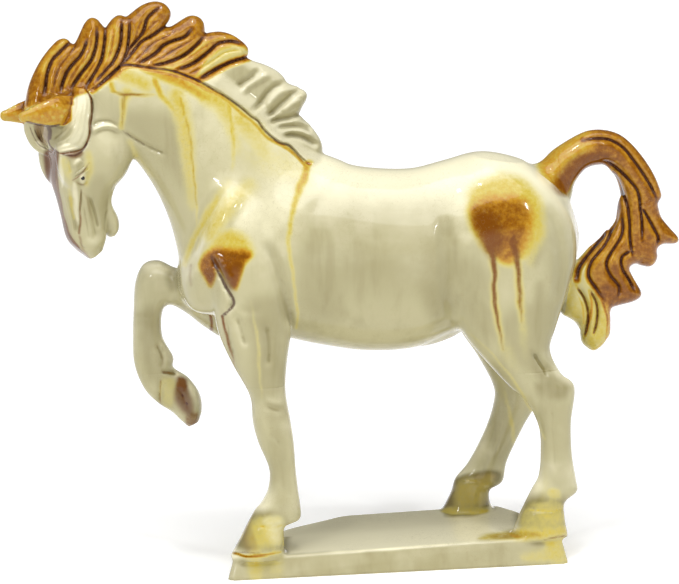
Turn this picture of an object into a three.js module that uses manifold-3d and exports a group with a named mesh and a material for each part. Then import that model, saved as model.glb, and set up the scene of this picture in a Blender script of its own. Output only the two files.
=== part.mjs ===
// A glazed pottery horse in the manner of the old tomb figures: head bowed, far foreleg raised,
// standing on a wedge-shaped plinth that was fired with it as one piece.
// Millimetres, +Z up. The head points to -X and the horse's left side faces -Y.
// The origin is the middle of the plinth's underside.

import * as THREE from 'three';
import { mergeVertices } from 'three/addons/utils/BufferGeometryUtils.js';
import ManifoldLibrary from 'manifold-3d';

// Driving dimensions

const horseHeight = 275;          // from the plinth's top to the top of the mane
const plinthLength = 180;         // along the foot
const plinthWidth = 78;           // across the foot
const plinthHeadThickness = 10;   // at the head end
const plinthTailThickness = 14;   // at the tail end
const plinthFlare = 3;            // how far the foot stands out past the top
const plinthEdgeRound = 1.4;      // softening of the top edge
const plinthEdgeFacet = 0.3;      // where the softened edge bends, as a share of the softening
const plinthCornerRadius = 5;     // in plan
const headCornerCut = 72;         // length lost from the far corner at the head end
const tailCornerCut = 17;         // length lost from the far corner at the tail end
const hoofSink = 1.5;             // how far each sole is set into the plinth

// Where the plinth's far corners are cut away, as shares of the cut
const headCutMiddle = 0.55;
const headCutEnd = 0.1;

// How finely the carving is faceted: sides round each section, and rings between neighbouring ribs
const torsoSides = 18;
const neckSides = 16;
const headSides = 14;
const chinSides = 10;
const legSides = 12;
const tailSides = 10;
const tailLockSides = 7;
const maneCoreSides = 7;
const lockSides = 6;
const strandSides = 7;
const smoothRings = 2;
const swellingColumns = 8;
const swellingRows = 6;
const cornerSteps = 3;
const curveTension = 0.5;
const samePoint = 1e-4;

// How square a section is: 2 is an oval, and more flattens its faces
const ovalSection = 2;
const headSection = 2.8;

// The horse is carved in thousandths of its own height, measured from the plinth's top at mid-length.
const share = horseHeight / 1000;

// Each rib is one section of a limb: [x, z] at one end of its long axis, [x, z] at the other end,
// how far it stands to the side, and half its width across.

const torsoRibs = [
  [-380, 512, -378, 480, 0, 45],
  [-358, 563, -355, 443, 0, 95],
  [-315, 637, -313, 410, 0, 120],
  [-260, 676, -260, 392, 0, 132],
  [-194, 706, -195, 379, 0, 137],
  [-124, 710, -125, 363, 0, 140],
  [-41, 695, -40, 350, 0, 145],
  [43, 692, 45, 353, 0, 145],
  [110, 707, 113, 376, 0, 141],
  [178, 723, 173, 392, 0, 136],
  [246, 711, 244, 396, 0, 126],
  [306, 682, 304, 406, 0, 104],
  [342, 644, 339, 440, 0, 76],
  [364, 596, 364, 513, 0, 34],
];

const neckRibs = [
  [-372, 471, -100, 699, 0, 113],
  [-391, 534, -160, 742, 0, 108],
  [-407, 597, -238, 822, 0, 88],
  [-430, 653, -312, 880, 0, 74],
  [-461, 702, -405, 922, 0, 65],
  [-486, 726, -479, 928, 0, 60],
  [-521, 734, -540, 900, 0, 55],
  [-546, 748, -574, 856, 0, 42],
];

// The head is carved facing straight ahead, then turned towards the horse's left about an upright axis.
const headTurn = 18;              // degrees
const headTurnAxis = -560;
const headRibs = [
  [-580, 838, -497, 773, 0, 42],
  [-632, 798, -485, 751, 0, 58],
  [-634, 749, -481, 719, 0, 64],
  [-620, 713, -494, 688, 0, 65],
  [-619, 677, -512, 661, 0, 55],
  [-611, 644, -521, 639, 0, 42],
  [-604, 613, -522, 619, 0, 35],
  [-594, 571, -524, 595, 0, 34],
  [-576, 549, -526, 572, 0, 32],
  [-555, 532, -531, 552, 0, 20],
];

const chinRibs = [
  [-527, 658, -517, 665, 0, 33],
  [-527, 628, -518, 639, 0, 29],
  [-528, 599, -501, 608, 0, 26],
  [-521, 577, -499, 588, 0, 22],
  [-515, 570, -504, 575, 0, 11],
];

// Heights on the standing legs are measured from the leg's own sole.

const nearForelegRibs = [
  [-318, 655, -250, 662, -48, 30],
  [-352, 596, -226, 608, -66, 56],
  [-356, 530, -209, 532, -84, 62],
  [-341, 465, -198, 462, -93, 58],
  [-330, 405, -199, 405, -98, 50],
  [-305, 348, -207, 351, -101, 43],
  [-275, 291, -210, 300, -104, 37],
  [-270, 243, -201, 244, -105, 36],
  [-260, 205, -195, 202, -105, 31],
  [-241, 158, -192, 156, -105, 25],
  [-242, 122, -188, 120, -105, 26],
  [-254, 96, -183, 82, -105, 31],
  [-268, 80, -186, 62, -105, 31],
  [-283, 53, -212, 51, -105, 31],
  [-295, 29, -214, 26, -105, 35],
  [-311, 0, -213, 0, -105, 39],
];

const nearHindlegRibs = [
  [160, 706, 250, 698, -36, 34],
  [118, 664, 288, 650, -56, 62],
  [97, 602, 332, 600, -65, 70],
  [99, 537, 340, 533, -72, 68],
  [105, 472, 324, 462, -80, 62],
  [123, 397, 303, 398, -87, 51],
  [160, 345, 291, 353, -90, 44],
  [214, 285, 312, 308, -94, 37],
  [248, 253, 338, 282, -97, 33],
  [272, 205, 332, 215, -98, 27],
  [276, 155, 335, 152, -98, 25],
  [273, 111, 344, 102, -98, 29],
  [260, 86, 346, 81, -98, 30],
  [247, 60, 323, 61, -98, 29],
  [235, 34, 322, 34, -98, 34],
  [222, 0, 328, 0, -98, 39],
];

const farHindlegRibs = [
  [175, 694, 265, 684, 36, 34],
  [138, 648, 314, 632, 56, 62],
  [121, 587, 358, 580, 65, 69],
  [125, 519, 362, 509, 73, 67],
  [138, 447, 341, 435, 84, 61],
  [165, 371, 315, 374, 93, 50],
  [203, 315, 302, 333, 98, 42],
  [237, 254, 319, 275, 103, 35],
  [240, 217, 333, 230, 106, 33],
  [223, 161, 301, 170, 108, 27],
  [190, 97, 268, 100, 109, 26],
  [164, 65, 259, 57, 110, 29],
  [156, 39, 234, 42, 110, 30],
  [146, 17, 232, 20, 110, 34],
  [137, 0, 240, 0, 110, 39],
];

const raisedForelegRibs = [
  [-285, 600, -225, 440, 50, 40],
  [-316, 530, -250, 385, 74, 50],
  [-344, 503, -295, 366, 88, 47],
  [-370, 499, -337, 389, 95, 42],
  [-394, 504, -367, 413, 98, 38],
  [-422, 517, -397, 431, 99, 37],
  [-450, 510, -412, 427, 99, 36],
  [-466, 476, -416, 416, 99, 32],
  [-470, 425, -418, 400, 99, 28],
  [-472, 375, -415, 368, 99, 26],
  [-470, 319, -396, 332, 99, 28],
  [-452, 272, -396, 311, 99, 28],
  [-426, 243, -368, 291, 99, 33],
  [-401, 226, -347, 261, 99, 36],
  [-384, 209, -342, 231, 99, 29],
  [-369, 195, -348, 206, 99, 14],
];

const tailRibs = [
  [276, 696, 328, 629, 0, 42],
  [305, 701, 350, 647, 0, 38],
  [334, 729, 367, 672, 0, 34],
  [370, 752, 391, 691, 0, 32],
  [407, 762, 412, 700, 0, 32],
  [447, 750, 434, 693, 0, 33],
  [485, 711, 453, 668, 0, 34],
  [510, 659, 462, 627, 0, 35],
  [512, 603, 456, 585, 0, 35],
  [502, 553, 434, 556, 0, 34],
  [482, 509, 402, 526, 0, 34],
  [458, 465, 372, 493, 0, 35],
  [442, 424, 348, 436, 0, 34],
  [436, 388, 370, 400, 0, 31],
  [428, 358, 384, 370, 0, 26],
  [412, 338, 398, 342, 0, 12],
];

// The mane is a thin crest of hair with locks carved along it. A lock leaves the crest's foot at a place
// between 0, the poll, and 1, the withers, bends towards one point and ends at another:
// [place, x, z, x, z, half width].
const crestLine = [
  [-660, 810],
  [-600, 826],
  [-538, 845],
  [-500, 870],
  [-472, 884],
  [-406, 872],
  [-341, 847],
  [-279, 805],
  [-221, 750],
  [-158, 704],
];
const maneLocks = [
  [0.01, -633, 878, -595, 922, 16],
  [0.05, -617, 884, -576, 918, 12],
  [0.09, -588, 880, -552, 958, 14],
  [0.13, -556, 872, -534, 968, 15],
  [0.17, -530, 890, -518, 950, 12],
  [0.20, -506, 900, -504, 967, 15],
  [0.24, -480, 908, -486, 972, 13],
  [0.28, -464, 908, -454, 978, 14],
  [0.34, -456, 914, -426, 995, 19],
  [0.40, -432, 924, -400, 976, 17],
  [0.45, -418, 902, -354, 970, 17],
  [0.50, -384, 888, -340, 952, 13],
  [0.55, -352, 920, -272, 930, 17],
  [0.60, -316, 900, -262, 904, 13],
  [0.64, -280, 896, -198, 860, 19],
  [0.70, -255, 862, -196, 842, 15],
  [0.76, -214, 844, -156, 830, 19],
  [0.80, -204, 818, -160, 802, 14],
  [0.84, -136, 828, -140, 712, 20],
  [0.89, -165, 764, -152, 704, 14],
];
const maneCoreRibs = [
  [-638, 800, -618, 882, 0, 26],
  [-598, 812, -564, 906, 0, 28],
  [-537, 832, -511, 928, 0, 28],
  [-499, 855, -457, 940, 0, 28],
  [-470, 868, -404, 930, 0, 28],
  [-403, 856, -328, 912, 0, 28],
  [-338, 830, -260, 872, 0, 28],
  [-276, 788, -198, 826, 0, 27],
  [-217, 735, -162, 766, 0, 25],
  [-172, 698, -148, 716, 0, 20],
];
const maneRootDepth = 40;
const maneTipDepth = 17;
const maneSway = 3;               // neighbouring locks lean to either side by this

// How a lock fills out from its root to its tip, and how far its tip is thinned
const lockSteps = [0, 0.4, 0.8, 0.94, 1];
const lockFullness = [0.8, 1, 1.1, 0.85, 0.4];
const tuftFullness = [0.9, 1, 0.85, 0.55, 0.25];
const lockTipThinning = 0.6;

// Tufts that leave the tail's outer side: [x, z] where each starts, bends and ends, half width, depth
const tailTufts = [
  [504, 650, 506, 601, 571, 544, 16, 22],
  [478, 712, 522, 684, 532, 622, 14, 24],
  [484, 620, 508, 560, 518, 502, 18, 26],
  [462, 590, 480, 540, 498, 502, 17, 27],
  [432, 512, 474, 476, 494, 442, 19, 26],
  [410, 480, 448, 446, 480, 430, 18, 24],
];
const tailLockPlaces = [0.14, 0.5, 0.86];
const tailLockWidth = 0.17;       // half width of a lock, as a share of the tail's own
const tailLockRise = 5;           // how far the locks stand past the tail's core
const tailLockStart = 3;          // the rib where the locks begin
const tailLockEdge = 0.72;        // depth of a lock at the tail's edges, as a share of its depth midway
const tuftTipShare = 0.5;         // depth of a tuft's tip, as a share of its root's

// The ears point forward and outward, and the forelock falls in two curls either side of a parting.
// Each is a row of [x, z, side, half height, half thickness]. The ear turns with the head.
const ear = [
  [-592, 801, 33, 27, 14],
  [-623, 802, 49, 26, 14],
  [-661, 798, 52, 17, 11],
  [-697, 794, 55, 6, 6],
];
const nearForelock = [
  [-561, 841, -38, 16, 16],
  [-564, 809, -56, 19, 16],
  [-569, 785, -64, 21, 16],
  [-578, 762, -66, 23, 16],
  [-600, 745, -54, 19, 17],
  [-620, 740, -32, 12, 16],
];
const farForelock = [
  [-640, 800, 16, 16, 26],
  [-650, 775, 24, 18, 26],
  [-647, 750, 28, 14, 18],
  [-638, 735, 14, 10, 14],
  [-627, 727, 3, 7, 9],
];

// Rounded muscles and features: [x, z, side, half length, half height, half width, tilt in degrees].
// A side other than 0 is carved on both sides.
const headSwellings = [
  [-530, 726, 34, 44, 54, 33, 0],
  [-605, 711, 47, 24, 46, 24, -11],
  [-589, 698, 50, 24, 9, 14, -40],
  [-557, 562, 20, 12, 14, 12, 60],
];
const bodySwellings = [
  [-345, 500, 42, 40, 66, 56, 15],
  [-285, 560, 66, 62, 120, 60, -18],
  [215, 560, 66, 100, 120, 72, 12],
  [95, 385, 0, 46, 20, 26, -14],
];

const glaze = new THREE.MeshStandardMaterial({ color: '#e8e2c4', roughness: 0.12, metalness: 0 });

// The plinth's top slopes up evenly from the head end to the tail end.
function plinthTop(x) {
  const along = (x + plinthLength / 2) / plinthLength;
  return THREE.MathUtils.lerp(plinthHeadThickness, plinthTailThickness, along);
}
const carvingLevel = plinthTop(0);

// Turns a grid of rings, each a list of points, into one closed body.
function bodyFromRings(rings) {
  const sides = rings[0].length;
  const points = rings.flat();
  const index = [];
  for (let ring = 0; ring < rings.length - 1; ring++) {
    for (let side = 0; side < sides; side++) {
      const here = ring * sides + side;
      const next = ring * sides + (side + 1) % sides;
      index.push(here, next, next + sides, here, next + sides, here + sides);
    }
  }
  [0, rings.length - 1].forEach((ring) => {
    const centre = rings[ring].reduce((sum, point) => sum.add(point), new THREE.Vector3());
    points.push(centre.divideScalar(sides));
    for (let side = 0; side < sides; side++) {
      const here = ring * sides + side;
      const next = ring * sides + (side + 1) % sides;
      const pair = ring === 0 ? [next, here] : [here, next];
      index.push(points.length - 1, ...pair);
    }
  });
  const geometry = new THREE.BufferGeometry().setFromPoints(points);
  geometry.setIndex(index);
  return geometry;
}

// Six times the volume inside a closed geometry, negative where its faces point inward
function signedVolume(geometry) {
  const position = geometry.getAttribute('position');
  const corner = (number) => new THREE.Vector3().fromBufferAttribute(position, geometry.index.getX(number));
  let total = 0;
  for (let face = 0; face < geometry.index.count; face += 3) {
    total += corner(face).dot(corner(face + 1).cross(corner(face + 2)));
  }
  return total;
}

const library = await ManifoldLibrary();
library.setup();

function solidFrom(geometry) {
  geometry.deleteAttribute('normal');
  geometry.deleteAttribute('uv');
  const merged = mergeVertices(geometry, samePoint);
  if (signedVolume(merged) < 0) {
    merged.index.array.reverse();
  }
  return new library.Manifold(new library.Mesh({
    numProp: 3,
    vertProperties: new Float32Array(merged.getAttribute('position').array),
    triVerts: new Uint32Array(merged.index.array),
  }));
}

function geometryFrom(solid) {
  const mesh = solid.getMesh();
  const geometry = new THREE.BufferGeometry();
  geometry.setAttribute('position', new THREE.BufferAttribute(new Float32Array(mesh.vertProperties), 3));
  geometry.setIndex(new THREE.BufferAttribute(new Uint32Array(mesh.triVerts), 1));
  geometry.computeVertexNormals();
  return geometry;
}

function join(solids) {
  return solids.reduce((whole, next) => whole.add(next));
}

// A smooth line through points in the horse's own shares, as real millimetres
function smoothLine(points) {
  return new THREE.CatmullRomCurve3(
    points.map(([x, side, z]) => new THREE.Vector3(x * share, side * share, carvingLevel + z * share)),
    false,
    'catmullrom',
    curveTension,
  );
}

// Pushes a circle's coordinate outwards, for a section squarer than an oval
function squared(value, section) {
  return Math.sign(value) * Math.abs(value) ** (2 / section);
}

// One section between two points of its long axis, with its half width across the horse
function sectionRing(from, to, halfWidth, sides, section) {
  const middle = from.clone().add(to).multiplyScalar(0.5);
  const along = to.clone().sub(from).multiplyScalar(0.5);
  const ring = [];
  for (let side = 0; side < sides; side++) {
    const angle = (side / sides) * 2 * Math.PI;
    const point = middle.clone().addScaledVector(along, squared(Math.cos(angle), section));
    point.y += halfWidth * squared(Math.sin(angle), section);
    ring.push(point);
  }
  return ring;
}

// A limb skinned over its ribs
function limb(ribs, sides, ringsPerRib, section = ovalSection) {
  const front = smoothLine(ribs.map(([x, z, , , side]) => [x, side, z]));
  const back = smoothLine(ribs.map(([, , x, z, side]) => [x, side, z]));
  const widths = new THREE.CatmullRomCurve3(
    ribs.map((rib) => new THREE.Vector3(rib[5] * share, 0, 0)),
    false,
    'catmullrom',
    curveTension,
  );
  const count = (ribs.length - 1) * ringsPerRib;
  const rings = [];
  for (let ring = 0; ring <= count; ring++) {
    const place = ring / count;
    const halfWidth = widths.getPoint(place).x;
    rings.push(sectionRing(front.getPoint(place), back.getPoint(place), halfWidth, sides, section));
  }
  return solidFrom(bodyFromRings(rings));
}

// A standing leg is stretched so that its sole meets the plinth, and the sole is then set into it.
function standingLeg(ribs) {
  const sole = ribs[ribs.length - 1];
  const hip = ribs[0];
  const soleX = (sole[0] + sole[2]) / 2 * share;
  const ground = (plinthTop(soleX) - carvingLevel) / share;
  const raise = (z) => z + ground * (1 - z / hip[1]);
  const placed = ribs.map(([x1, z1, x2, z2, side, half]) => [x1, raise(z1), x2, raise(z2), side, half]);
  const sunk = hoofSink / share;
  placed.push([sole[0], ground - sunk, sole[2], ground - sunk, sole[4], sole[5]]);
  return limb(placed, legSides, 1);
}

// A strand runs along a row of [x, z, side, half height, half thickness] and ends in a blunt tip.
function strand(row, sides, ringsPerPoint) {
  const centre = smoothLine(row.map(([x, z, side]) => [x, side, z]));
  const sizes = new THREE.CatmullRomCurve3(
    row.map((point) => new THREE.Vector3(point[3] * share, point[4] * share, 0)),
    false,
    'catmullrom',
    curveTension,
  );
  const count = (row.length - 1) * ringsPerPoint;
  const rings = [];
  for (let ring = 0; ring <= count; ring++) {
    const place = ring / count;
    const middle = centre.getPoint(place);
    const heading = centre.getTangent(place);
    const size = sizes.getPoint(place);
    const across = new THREE.Vector3(-heading.z, 0, heading.x).normalize().multiplyScalar(size.x);
    const from = middle.clone().sub(across);
    const to = middle.clone().add(across);
    rings.push(sectionRing(from, to, size.y, sides, ovalSection));
  }
  return solidFrom(bodyFromRings(rings));
}

// A lock swept along a bent line, thinning from its root to its tip
function lock(root, bend, tip, halfWidth, rootDepth, tipDepth, sideOffset, fullness) {
  const path = new THREE.QuadraticBezierCurve(
    new THREE.Vector2(...root),
    new THREE.Vector2(...bend),
    new THREE.Vector2(...tip),
  );
  const row = lockSteps.map((place, number) => {
    const point = path.getPoint(place);
    const thinning = place === 1 ? lockTipThinning : 1;
    const depth = THREE.MathUtils.lerp(rootDepth, tipDepth, place) * thinning;
    return [point.x, point.y, sideOffset, halfWidth * fullness[number], depth];
  });
  return strand(row, lockSides, 1);
}

function mane() {
  const crest = new THREE.CatmullRomCurve3(
    crestLine.map(([x, z]) => new THREE.Vector3(x, 0, z)),
    false,
    'catmullrom',
    curveTension,
  );
  const locks = maneLocks.map(([place, bendX, bendZ, tipX, tipZ, halfWidth], number) => {
    const root = crest.getPoint(place);
    const lean = number % 2 === 0 ? maneSway : -maneSway;
    const path = [[root.x, root.z], [bendX, bendZ], [tipX, tipZ]];
    return lock(...path, halfWidth, maneRootDepth, maneTipDepth, lean, lockFullness);
  });
  return [limb(maneCoreRibs, maneCoreSides, 1), ...locks];
}

// The tail is a core with locks laid along it side by side, and tufts that leave its outer side.
function tail() {
  const core = limb(tailRibs, tailSides, 1);
  const laid = tailRibs.slice(tailLockStart, -1);
  const locks = tailLockPlaces.map((place) => {
    const row = laid.map(([x1, z1, x2, z2, side, half]) => {
      const width = Math.hypot(x2 - x1, z2 - z1);
      const bulge = Math.sin(Math.PI * place);
      return [
        THREE.MathUtils.lerp(x1, x2, place),
        THREE.MathUtils.lerp(z1, z2, place),
        side,
        width * tailLockWidth,
        half * THREE.MathUtils.lerp(tailLockEdge, 1, bulge) + tailLockRise,
      ];
    });
    return strand(row, tailLockSides, 1);
  });
  const tufts = tailTufts.map(([x1, z1, x2, z2, x3, z3, halfWidth, depth]) => (
    lock([x1, z1], [x2, z2], [x3, z3], halfWidth, depth, depth * tuftTipShare, 0, tuftFullness)
  ));
  return [core, ...locks, ...tufts];
}

function swelling([x, z, side, halfLength, halfHeight, halfWidth, tilt], direction) {
  const ball = new THREE.SphereGeometry(share, swellingColumns, swellingRows);
  ball.scale(halfLength, halfWidth, halfHeight);
  ball.rotateY(THREE.MathUtils.degToRad(tilt));
  ball.translate(x * share, direction * side * share, carvingLevel + z * share);
  return solidFrom(ball);
}

function onBothSides(swellings) {
  return swellings.flatMap((row) => {
    const directions = row[2] === 0 ? [1] : [1, -1];
    return directions.map((direction) => swelling(row, direction));
  });
}

// The head with its chin, cheeks, brows, nostrils and ears, turned as one
function head() {
  const ears = [1, -1].map((direction) => {
    const row = ear.map(([x, z, side, ...size]) => [x, z, direction * side, ...size]);
    return strand(row, strandSides, smoothRings);
  });
  const facingAhead = [
    limb(headRibs, headSides, 1, headSection),
    limb(chinRibs, chinSides, 1),
    ...onBothSides(headSwellings),
    ...ears,
  ];
  const axis = headTurnAxis * share;
  return facingAhead.map((solid) => solid.translate([-axis, 0, 0]).rotate([0, 0, headTurn]).translate([axis, 0, 0]));
}

// The plinth's outline in plan, its far corners cut away, walked round with each corner softened
function plinthOutline() {
  const endX = plinthLength / 2;
  const endY = plinthWidth / 2;
  const corners = [
    [-endX, -endY],
    [endX, -endY],
    [endX - tailCornerCut / 2, endY / 2],
    [endX - tailCornerCut, endY],
    [-endX + headCornerCut, endY],
    [-endX + headCornerCut * headCutMiddle, endY / 2],
    [-endX + headCornerCut * headCutEnd, -endY / 4],
  ].map(([x, y]) => new THREE.Vector2(x, y));
  return corners.flatMap((corner, number) => {
    const before = corners[(number + corners.length - 1) % corners.length];
    const after = corners[(number + 1) % corners.length];
    const start = corner.clone().add(before.clone().sub(corner).setLength(plinthCornerRadius));
    const end = corner.clone().add(after.clone().sub(corner).setLength(plinthCornerRadius));
    return new THREE.QuadraticBezierCurve(start, corner, end).getPoints(cornerSteps);
  });
}

function plinth() {
  const outline = plinthOutline();
  const layer = (inset, height) => outline.map(({ x, y }) => new THREE.Vector3(
    x * (1 - 2 * inset / plinthLength),
    y * (1 - 2 * inset / plinthWidth),
    height(x),
  ));
  const facet = plinthEdgeRound * plinthEdgeFacet;
  const rings = [
    layer(0, () => 0),
    layer(plinthFlare, (x) => plinthTop(x) - plinthEdgeRound),
    layer(plinthFlare + facet, (x) => plinthTop(x) - facet),
    layer(plinthFlare + plinthEdgeRound, (x) => plinthTop(x)),
  ];
  return solidFrom(bodyFromRings(rings));
}

const horse = new THREE.Mesh(
  geometryFrom(join([
    plinth(),
    limb(torsoRibs, torsoSides, 1),
    limb(neckRibs, neckSides, smoothRings),
    ...head(),
    standingLeg(nearForelegRibs),
    standingLeg(nearHindlegRibs),
    standingLeg(farHindlegRibs),
    limb(raisedForelegRibs, legSides, 1),
    ...onBothSides(bodySwellings),
    ...mane(),
    ...tail(),
    strand(nearForelock, strandSides, smoothRings),
    strand(farForelock, strandSides, smoothRings),
  ])),
  glaze,
);
horse.name = 'horse';

const group = new THREE.Group();
group.add(horse);

export default group;
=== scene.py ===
# A glazed pottery horse in the manner of the old tomb figures, on its wedge-shaped plinth.
# The figure is carved as one field of distances, in which limbs, muscles, hair and plinth run into each
# other as clay does, and the field is then skinned in pieces. Metres, +Z up, the head towards -X.

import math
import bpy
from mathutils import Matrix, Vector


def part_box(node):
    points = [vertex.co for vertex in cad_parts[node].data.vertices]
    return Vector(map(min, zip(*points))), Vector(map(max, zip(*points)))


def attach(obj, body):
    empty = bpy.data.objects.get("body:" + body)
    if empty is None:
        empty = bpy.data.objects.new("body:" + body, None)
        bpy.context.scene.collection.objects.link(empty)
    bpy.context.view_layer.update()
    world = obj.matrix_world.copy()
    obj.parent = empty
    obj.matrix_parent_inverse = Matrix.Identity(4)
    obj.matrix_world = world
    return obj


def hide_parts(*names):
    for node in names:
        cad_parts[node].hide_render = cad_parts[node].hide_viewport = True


bl_info = {
    "name": "Glazed pottery horse",
    "version": (1, 0, 0),
    "blender": (4, 5, 0),
    "location": "View3D > Sidebar > Pottery horse",
    "description": "Carves a cream and amber glazed pottery horse and lights it",
    "category": "Add Mesh",
}

import bpy
import numpy as np
import openvdb

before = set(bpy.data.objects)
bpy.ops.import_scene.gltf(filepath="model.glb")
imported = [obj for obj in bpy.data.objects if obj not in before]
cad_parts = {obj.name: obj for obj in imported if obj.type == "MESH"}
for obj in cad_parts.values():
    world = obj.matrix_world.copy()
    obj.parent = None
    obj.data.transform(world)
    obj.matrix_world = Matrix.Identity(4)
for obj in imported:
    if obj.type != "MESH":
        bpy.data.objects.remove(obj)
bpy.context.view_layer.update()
FIGURE_LOW, FIGURE_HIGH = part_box("horse")

MM = 0.001

# The carving is written in shares, thousandths of the horse's height, counted from the plinth's top at
# mid-length. The whole figure, plinth included, stands this many of them high.
FIGURE_SHARES = 1041.3
SHARE = (FIGURE_HIGH.z - FIGURE_LOW.z) / FIGURE_SHARES
CARVING_LEVEL = 12 * MM

# The photograph's view. Strokes of carving and glaze are placed by points of the picture, read one by one,
# and land on the figure along the lines of sight.
PICTURE_WIDTH = 679
PICTURE_HEIGHT = 584
VIEW_AZIMUTH = math.radians(-10.25)
VIEW_ELEVATION = math.radians(7)
VIEW_DISTANCE = 900 * MM
VIEW_TARGET = np.array([-25.1 * MM, 0, 138.8 * MM])
VIEW_FOCUS = 1745
SENSOR_WIDTH = 36
NEAREST_SEEN = 10 * MM

# Ribs that a limb is skinned over: x and z at its front, x and z at its back, side and half width
TORSO_RIBS = [
    (-380, 512, -378, 480, 0, 45),
    (-358, 563, -355, 443, 0, 95),
    (-315, 637, -313, 410, 0, 120),
    (-260, 676, -260, 392, 0, 132),
    (-194, 706, -195, 379, 0, 137),
    (-124, 710, -125, 363, 0, 140),
    (-41, 695, -40, 350, 0, 145),
    (43, 692, 45, 353, 0, 145),
    (110, 707, 113, 376, 0, 141),
    (178, 723, 173, 392, 0, 136),
    (246, 711, 244, 396, 0, 126),
    (306, 682, 304, 406, 0, 104),
    (342, 644, 339, 440, 0, 76),
    (364, 596, 364, 513, 0, 34),
]
NECK_RIBS = [
    (-372, 471, -100, 699, 0, 113),
    (-391, 534, -160, 742, 0, 108),
    (-407, 597, -238, 822, 0, 88),
    (-430, 653, -312, 880, 0, 74),
    (-461, 702, -405, 922, 0, 65),
    (-486, 726, -479, 928, 0, 60),
    (-521, 734, -540, 900, 0, 55),
    (-546, 748, -574, 856, 0, 42),
]
HEAD_RIBS = [
    (-580, 838, -497, 773, 0, 42),
    (-632, 798, -485, 751, 0, 58),
    (-634, 749, -481, 719, 0, 64),
    (-620, 713, -494, 688, 0, 65),
    (-619, 677, -512, 661, 0, 55),
    (-611, 644, -521, 639, 0, 42),
    (-604, 613, -522, 619, 0, 35),
    (-594, 571, -524, 595, 0, 34),
    (-576, 549, -526, 572, 0, 32),
    (-555, 532, -531, 552, 0, 20),
]
CHIN_RIBS = [
    (-527, 658, -517, 665, 0, 33),
    (-527, 628, -518, 639, 0, 29),
    (-528, 599, -501, 608, 0, 26),
    (-521, 577, -499, 588, 0, 22),
    (-515, 570, -504, 575, 0, 11),
]
NEAR_FORELEG_RIBS = [
    (-318, 655, -250, 662, -48, 30),
    (-352, 596, -226, 608, -66, 56),
    (-356, 530, -209, 532, -84, 62),
    (-341, 465, -198, 462, -93, 58),
    (-330, 405, -199, 405, -98, 50),
    (-305, 348, -207, 351, -101, 43),
    (-275, 291, -210, 300, -104, 37),
    (-270, 243, -201, 244, -105, 36),
    (-260, 205, -195, 202, -105, 31),
    (-241, 158, -192, 156, -105, 25),
    (-242, 122, -188, 120, -105, 26),
    (-254, 96, -183, 82, -105, 31),
    (-268, 80, -186, 62, -105, 31),
    (-283, 53, -212, 51, -105, 31),
    (-295, 29, -214, 26, -105, 35),
    (-311, 0, -213, 0, -105, 39),
]
NEAR_HINDLEG_RIBS = [
    (160, 706, 250, 698, -36, 34),
    (118, 664, 288, 650, -56, 62),
    (97, 602, 332, 600, -65, 70),
    (99, 537, 340, 533, -72, 68),
    (105, 472, 324, 462, -80, 62),
    (123, 397, 303, 398, -87, 51),
    (160, 345, 291, 353, -90, 44),
    (214, 285, 312, 308, -94, 37),
    (248, 253, 338, 282, -97, 33),
    (272, 205, 332, 215, -98, 27),
    (276, 155, 335, 152, -98, 25),
    (273, 111, 344, 102, -98, 29),
    (260, 86, 346, 81, -98, 30),
    (247, 60, 323, 61, -98, 29),
    (235, 34, 322, 34, -98, 34),
    (222, 0, 328, 0, -98, 39),
]
FAR_HINDLEG_RIBS = [
    (175, 694, 265, 684, 36, 34),
    (138, 648, 314, 632, 56, 62),
    (121, 587, 358, 580, 65, 69),
    (125, 519, 362, 509, 73, 67),
    (138, 447, 341, 435, 84, 61),
    (165, 371, 315, 374, 93, 50),
    (203, 315, 302, 333, 98, 42),
    (237, 254, 319, 275, 103, 35),
    (240, 217, 333, 230, 106, 33),
    (223, 161, 301, 170, 108, 27),
    (190, 97, 268, 100, 109, 26),
    (164, 65, 259, 57, 110, 29),
    (156, 39, 234, 42, 110, 30),
    (146, 17, 232, 20, 110, 34),
    (137, 0, 240, 0, 110, 39),
]
RAISED_FORELEG_RIBS = [
    (-285, 600, -225, 440, 50, 40),
    (-316, 530, -250, 385, 74, 50),
    (-344, 503, -295, 366, 88, 47),
    (-370, 499, -337, 389, 95, 42),
    (-394, 504, -367, 413, 98, 38),
    (-422, 517, -397, 431, 99, 37),
    (-450, 510, -412, 427, 99, 36),
    (-466, 476, -416, 416, 99, 32),
    (-470, 425, -418, 400, 99, 28),
    (-472, 375, -415, 368, 99, 26),
    (-470, 319, -396, 332, 99, 28),
    (-452, 272, -396, 311, 99, 28),
    (-426, 243, -368, 291, 99, 33),
    (-401, 226, -347, 261, 99, 36),
    (-384, 209, -342, 231, 99, 29),
    (-369, 195, -348, 206, 99, 14),
]
# Strands: x, z, side, half height and half thickness
EAR = [
    (-592, 801, 33, 27, 14),
    (-623, 802, 49, 26, 14),
    (-656, 797, 52, 20, 12),
    (-681, 793, 54, 12, 9),
    (-689, 792, 54, 10, 8),
]
NEAR_FORELOCK = [
    (-561, 841, -38, 16, 16),
    (-564, 809, -56, 19, 16),
    (-569, 785, -64, 21, 16),
    (-578, 762, -66, 23, 16),
    (-600, 745, -54, 19, 17),
    (-620, 740, -32, 12, 16),
]
FAR_FORELOCK = [
    (-640, 800, 16, 16, 26),
    (-650, 775, 24, 18, 26),
    (-647, 750, 28, 14, 18),
    (-638, 735, 14, 10, 14),
    (-627, 727, 3, 7, 9),
]
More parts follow.
